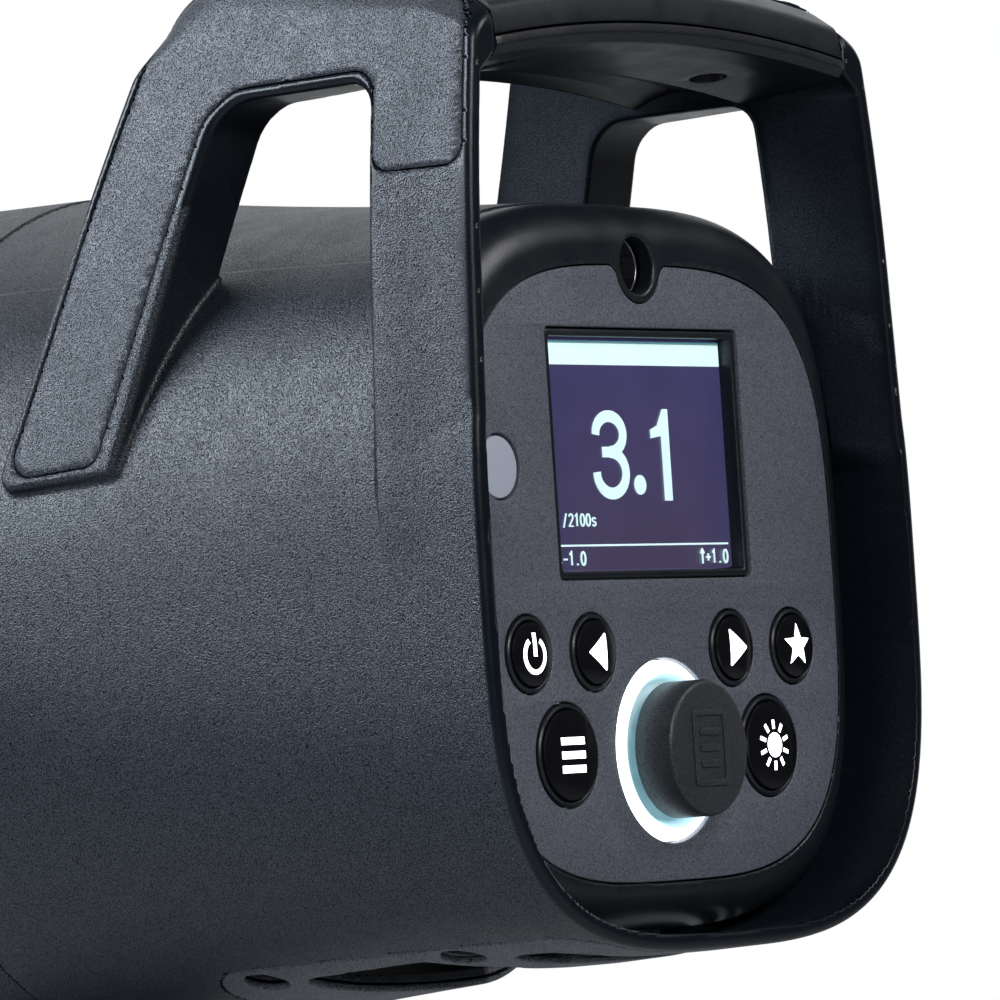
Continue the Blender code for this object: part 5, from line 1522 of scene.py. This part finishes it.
# ---- connectors on the right-hand side ----------------------------------------------------
def build_connectors():
    openings = [rounded_box_outline(0.0142, 0.0108, 0.0022, (INLET_Y, 0)),
                circle(SYNC_R + GAP, (SMALL_SOCKETS_Y, SYNC_Z), 48),
                rounded_box_outline(0.0078, 0.0038, 0.0008, (SMALL_SOCKETS_Y, USB_Z))]
    plate = slab("connector_panel", [rounded_box_outline(0.0320, 0.0170, 0.0036, (BAY_Y, 0))]
                 + openings, 0.0640, 0.0655, FACING_SIDE, 0.0003)
    finish_piece(plate, CAST, "head", ("connector_plate",))
    outer = rounded_box_outline(0.0139, 0.0105, 0.0020, (INLET_Y, 0))
    well_y = (INLET_Y - 0.0118, INLET_Y + 0.0118)
    well = arcs([(well_y[0], -0.0082, 0.0035), (well_y[1], -0.0082, 0.0035),
                 (well_y[1], 0.0082, 0.0015), (well_y[0], 0.0082, 0.0015)], 4)
    walls = slab("inlet_walls", [outer, well], 0.0490, 0.0665, FACING_SIDE, 0.0004)
    floor = slab("inlet_floor", [outer], 0.0480, 0.0500, FACING_SIDE, 0.0003)
    pins = []
    for y, z in ((-0.0070, -0.002), (0, 0.002), (0.0070, -0.002)):
        pin = rounded_box_outline(0.0010, 0.0020, 0.0004, (INLET_Y + y, z))
        pins.append(slab("pin", [pin], 0.0495, 0.0640, FACING_SIDE, 0.0003))
    cut(walls, floor, *pins, operation="UNION")
    walls.name = "inlet_socket"
    finish_piece(walls, KNOB, "head", ("mains_inlet",))
    sync_at = head(0, SMALL_SOCKETS_Y, SYNC_Z)
    sync = rounded_rod("sync_jack", SYNC_R, 0.0540, 0.0665, "x", sync_at, 0.0004)
    bore = turned([(0.0018, 0.0560), (0.0018, 0.0700)], "x", sync_at, 40)
    bevel(cut(sync, object_from_bmesh("bore", bore)), 0.0002, 2, 50)
    finish_piece(sync, KNOB, "head", ("sync_socket",))
    case = rounded_box_outline(0.0075, 0.0035, 0.0006, (SMALL_SOCKETS_Y, USB_Z))
    mouth = rounded_box_outline(0.0067, 0.0026, 0.0003, (SMALL_SOCKETS_Y, USB_Z))
    usb = slab("usb_walls", [case, mouth], 0.0530, 0.0660, FACING_SIDE, 0.0001)
    back = slab("usb_back", [case], 0.0520, 0.0540, FACING_SIDE, 0.0001)
    tongue = rounded_box_outline(0.0055, 0.0008, 0.0002, (SMALL_SOCKETS_Y, USB_Z + 0.0010))
    tongue = slab("usb_tongue", [tongue], 0.0535, 0.0640, FACING_SIDE, 0.0001)
    cut(usb, back, tongue, operation="UNION")
    usb.name = "usb_receptacle"
    finish_piece(usb, STEEL, "head", ("usb_port",))


# ---- tilt bracket -------------------------------------------------------------------------
def x_rod(name, radius, low, high, centre, segments=96):
    return spun(name, [(radius, low), (radius, high)], "x", centre, segments)


def build_tilt_base():
    saddle = slab("saddle_casting", [rounded_box_outline(0.0240, 0.0165, 0.0050, (0, PIVOT_Y))],
                  -0.0765, -0.0640, FACING_UP, 0.0006)
    belly = turned([(HEAD_R + GAP, 0.09), (HEAD_R + GAP, 0.16)], "y", head(0, 0, 0), 180)
    cut(saddle, object_from_bmesh("belly", belly))
    lugs = []
    for low, high in ((-LUG_FACE, LUG_T - LUG_FACE), (LUG_FACE - LUG_T, LUG_FACE)):
        lug = arc_points((PIVOT_Y, PIVOT_Z), LUG_R, LUG_R, 180, 360, 32)
        lug += [(PIVOT_Y + LUG_R, -0.0750), (PIVOT_Y - LUG_R, -0.0750)]
        lugs.append(slab("lug", [lug], low, high, FACING_SIDE, 0.0004))
    cut(saddle, *lugs, operation="UNION")
    cut(saddle, x_rod("bore", BOLT_R + GAP, -0.030, 0.030, PIVOT, 64))
    bevel(saddle, 0.0005, 2, 50)
    finish_piece(saddle, CAST, "head", ("tilt_base",))


def build_stand_bracket():
    cheek = arc_points((PIVOT_Y, PIVOT_Z), LUG_R, LUG_R, -20, 200, 40)
    cheek += [(PIVOT_Y - 0.0112, -0.1100), (PIVOT_Y + 0.0112, -0.1100)]
    tongue = slab("bracket_casting", [cheek], -TONGUE_HALF, TONGUE_HALF, FACING_SIDE, 0.0005)
    receiver = slab("receiver", [rounded_box_outline(0.0140, 0.0112, 0.0060)], 0.0, 0.0348,
                    FACING_UP, 0.0008, origin=(0, 0, 0))
    cut(tongue, receiver, operation="UNION")
    spigot = turned([(SPIGOT_R, -0.010), (SPIGOT_R, 0.0340)], "z", (0, 0, 0), 96)
    clamp = x_rod("clamp", CLAMP_R + GAP, 0.0040, 0.0200, (0, 0, CLAMP_Z), 64)
    cut(tongue, object_from_bmesh("spigot", spigot), clamp,
        x_rod("bore", BOLT_R + GAP, -0.03, 0.03, PIVOT, 64))
    bevel(tongue, 0.0005, 2, 50)
    finish_piece(tongue, CAST, "stand", ("stand_bracket",))


def build_tilt_hardware():
    inner = TONGUE_HALF + GAP
    for label, low, high in (("left", -inner - DISC_T, -inner), ("right", inner, inner + DISC_T)):
        disc = rounded_rod(f"friction_washer_{label}", LUG_R - 0.0010, low, high, "x", PIVOT,
                           0.0002, 96, BOLT_R + GAP)
        finish_piece(disc, FIBRE, "head", (f"friction_disc_{label}",))
    section = arcs([(AXIS_R, -LUG_FACE - 0.0110, 0), (BOLT_R, -LUG_FACE - 0.0110, 0.0004),
                    (BOLT_R, LUG_FACE + GAP, 0), (0.0075, LUG_FACE + GAP, 0.0003),
                    (0.0075, LUG_FACE + 0.0050, 0.0009), (AXIS_R, LUG_FACE + 0.0050, 0)], 4, False)
    bolt = spun("tilt_pivot_bolt", section, "x", PIVOT, 72)
    hexagon = turned([(0.0036, LUG_FACE + 0.0020), (0.0036, LUG_FACE + 0.0060)], "x", PIVOT, 6)
    cut(bolt, object_from_bmesh("hex", hexagon, 20))
    finish_piece(bolt, STEEL, "head", ("tilt_bolt",))
    blade = arcs([(PIVOT_Y, PIVOT_Z + 0.0068, 0), (PIVOT_Y - 0.0440, PIVOT_Z + 0.0047, 0.004),
                  (PIVOT_Y - 0.0500, PIVOT_Z, 0.0035), (PIVOT_Y - 0.0440, PIVOT_Z - 0.0047, 0.004),
                  (PIVOT_Y, PIVOT_Z - 0.0068, 0)], 8)
    lever = rounded_rod("lever_handle", 0.0100, -LUG_FACE - 0.0130, -LUG_FACE - GAP, "x", PIVOT,
                        0.0010, 96)
    arm = slab("arm", [blade], -LUG_FACE - 0.0120, -LUG_FACE - 0.0030, FACING_SIDE, 0.0016)
    cut(lever, arm, operation="UNION")
    cut(lever, x_rod("bore", BOLT_R + GAP, -LUG_FACE - 0.0113, 0.0, PIVOT, 64))
    finish_piece(lever, SATIN, "tilt_lever", ("tilt_lever",))


def build_stand_clamp():
    centre = Vector((0, 0, CLAMP_Z))
    screw_end, knob_low = 0.0190, 0.0150
    pin = rounded_rod("clamp_pin", CLAMP_R, 0.0088, screw_end, "x", centre, 0.0005, 64)
    finish_piece(pin, BRASS, "stand_clamp", ("stand_clamp_screw",))
    rings = []
    for grow, x in ((-0.0014, 0.0), (-0.0004, 0.0004), (0, 0.0014), (0, 0.0126), (-0.0004, 0.0136),
                    (-0.0014, 0.0140), (-0.0060, 0.0137)):
        ring = []
        for i in range(144):
            turn = 2 * math.pi * i / 144
            radius = 0.0098 + 0.0010 * math.cos(6 * turn) + grow
            ring.append(centre + Vector((knob_low + x, radius * math.cos(turn),
                                         radius * math.sin(turn))))
        rings.append(ring)
    knob = object_from_bmesh("clamp_lobed_knob", loft(rings), 50)
    cut(knob, x_rod("bore", CLAMP_R + GAP, 0.0, screw_end + GAP, centre, 64))
    finish_piece(knob, SATIN, "stand_clamp", ("stand_clamp_knob",))


def finish_kept_nodes():
    """CAD nodes whose shape is right get the finish of their material slot."""
    finishes = {
        "chassis_plate": ALUMINIUM, "power_board": BOARD, "capacitor_1": SLEEVE,
        "capacitor_2": SLEEVE, "trigger_transformer": CAST, "fan_frame": KNOB, "fan_rotor": KNOB,
        "lamp_heat_sink": ALUMINIUM, "control_board": BOARD, "rotary_encoder": STEEL,
        "selector_shaft": STEEL,
    }
    for name, material in finishes.items():
        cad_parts[name].data.materials.clear()
        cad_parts[name].data.materials.append(material)


# ---- studio -------------------------------------------------------------------------------
WHITE = (1.0, 1.0, 1.0)
LIGHTS_AIM = Vector((0, -0.05, 0.15))
SOFTBOXES = (               # name, place, width, height, power, colour
    ("key_softbox", (-0.97, 0.74, 0.80), 0.90, 0.50, 27.0, (0.80, 0.89, 1.0)),
    ("top_softbox", (0.30, 0.45, 1.30), 0.50, 0.50, 2.5, WHITE),
    ("rear_right_softbox", (0.62, -1.05, 0.90), 0.50, 0.50, 5.0, WHITE),
    ("rear_left_softbox", (-0.60, -1.15, 0.72), 0.50, 0.50, 9.0, WHITE),
)


def build_lights():
    for name, place, width, height, power, colour in SOFTBOXES:
        light = bpy.data.lights.new(name, "AREA")
        light.shape = "RECTANGLE"
        light.size = width
        light.size_y = height
        light.energy = power
        light.color = colour
        obj = bpy.data.objects.new(name, light)
        obj.location = place
        obj.rotation_euler = (LIGHTS_AIM - Vector(place)).to_track_quat("-Z", "Y").to_euler()
        bpy.context.scene.collection.objects.link(obj)


def build_studio():
    bm = bmesh.new()
    bmesh.ops.create_grid(bm, x_segments=8, y_segments=8, size=2.0)
    bmesh.ops.translate(bm, vec=(0, 0, FLOOR_Z), verts=bm.verts)
    floor = object_from_bmesh("studio_floor", bm)
    floor.data.materials.append(floor_material("studio_floor"))
    bpy.context.scene.view_settings.view_transform = "Standard"
    world = bpy.data.worlds.new("studio")
    bpy.context.scene.world = world
    world.use_nodes = True
    nodes, links = world.node_tree.nodes, world.node_tree.links
    shown, lit = nodes["Background"], nodes.new("ShaderNodeBackground")
    shown.inputs["Color"].default_value = (1, 1, 1, 1)
    shown.inputs["Strength"].default_value = 1.0
    direction = nodes.new("ShaderNodeTexCoord").outputs["Generated"]
    facing = nodes.new("ShaderNodeVectorMath")
    facing.operation = "DOT_PRODUCT"
    facing.inputs[1].default_value = BACKDROP
    links.new(direction, facing.inputs[0])
    ramp = nodes.new("ShaderNodeMapRange")
    ramp.interpolation_type = "SMOOTHSTEP"
    for key, value in (("From Min", 0.45), ("From Max", 0.90), ("To Min", 0.015), ("To Max", 0.8)):
        ramp.inputs[key].default_value = value
    links.new(facing.outputs["Value"], ramp.inputs["Value"])
    links.new(ramp.outputs["Result"], lit.inputs["Strength"])
    lit.inputs["Color"].default_value = (0.93, 0.97, 1.0, 1)
    path, mix = nodes.new("ShaderNodeLightPath"), nodes.new("ShaderNodeMixShader")
    links.new(path.outputs["Is Camera Ray"], mix.inputs[0])
    links.new(lit.outputs[0], mix.inputs[1])
    links.new(shown.outputs[0], mix.inputs[2])
    links.new(mix.outputs[0], nodes["World Output"].inputs[0])


def build_camera():
    """The fitted view of the photo."""
    camera = bpy.data.cameras.new("photo_view")
    camera.lens = 300.2
    camera.sensor_width = 36.0
    camera.clip_start = 0.05
    obj = bpy.data.objects.new("photo_view", camera)
    forward = Vector((0.8119, 0.5823, 0.0416)).normalized()
    up = Vector((0.0044, -0.0774, 0.9970))
    right = forward.cross(up).normalized()
    up = right.cross(forward)
    turn = Matrix((right, up, -forward)).transposed().to_4x4()
    obj.matrix_world = Matrix.Translation((-1.1144, -0.8927, 0.0956)) @ turn
    bpy.context.scene.collection.objects.link(obj)
    bpy.context.scene.camera = obj


build_studio()
build_lights()
build_camera()
build_housing()
build_front_shell()
build_grip()
build_shoe_screws()
build_panel()
build_display()
build_buttons()
build_selector()
build_front_plate()
build_bayonet()
build_locking_ring()
build_lamp()
build_connectors()
build_tilt_base()
build_stand_bracket()
build_tilt_hardware()
build_stand_clamp()
finish_kept_nodes()
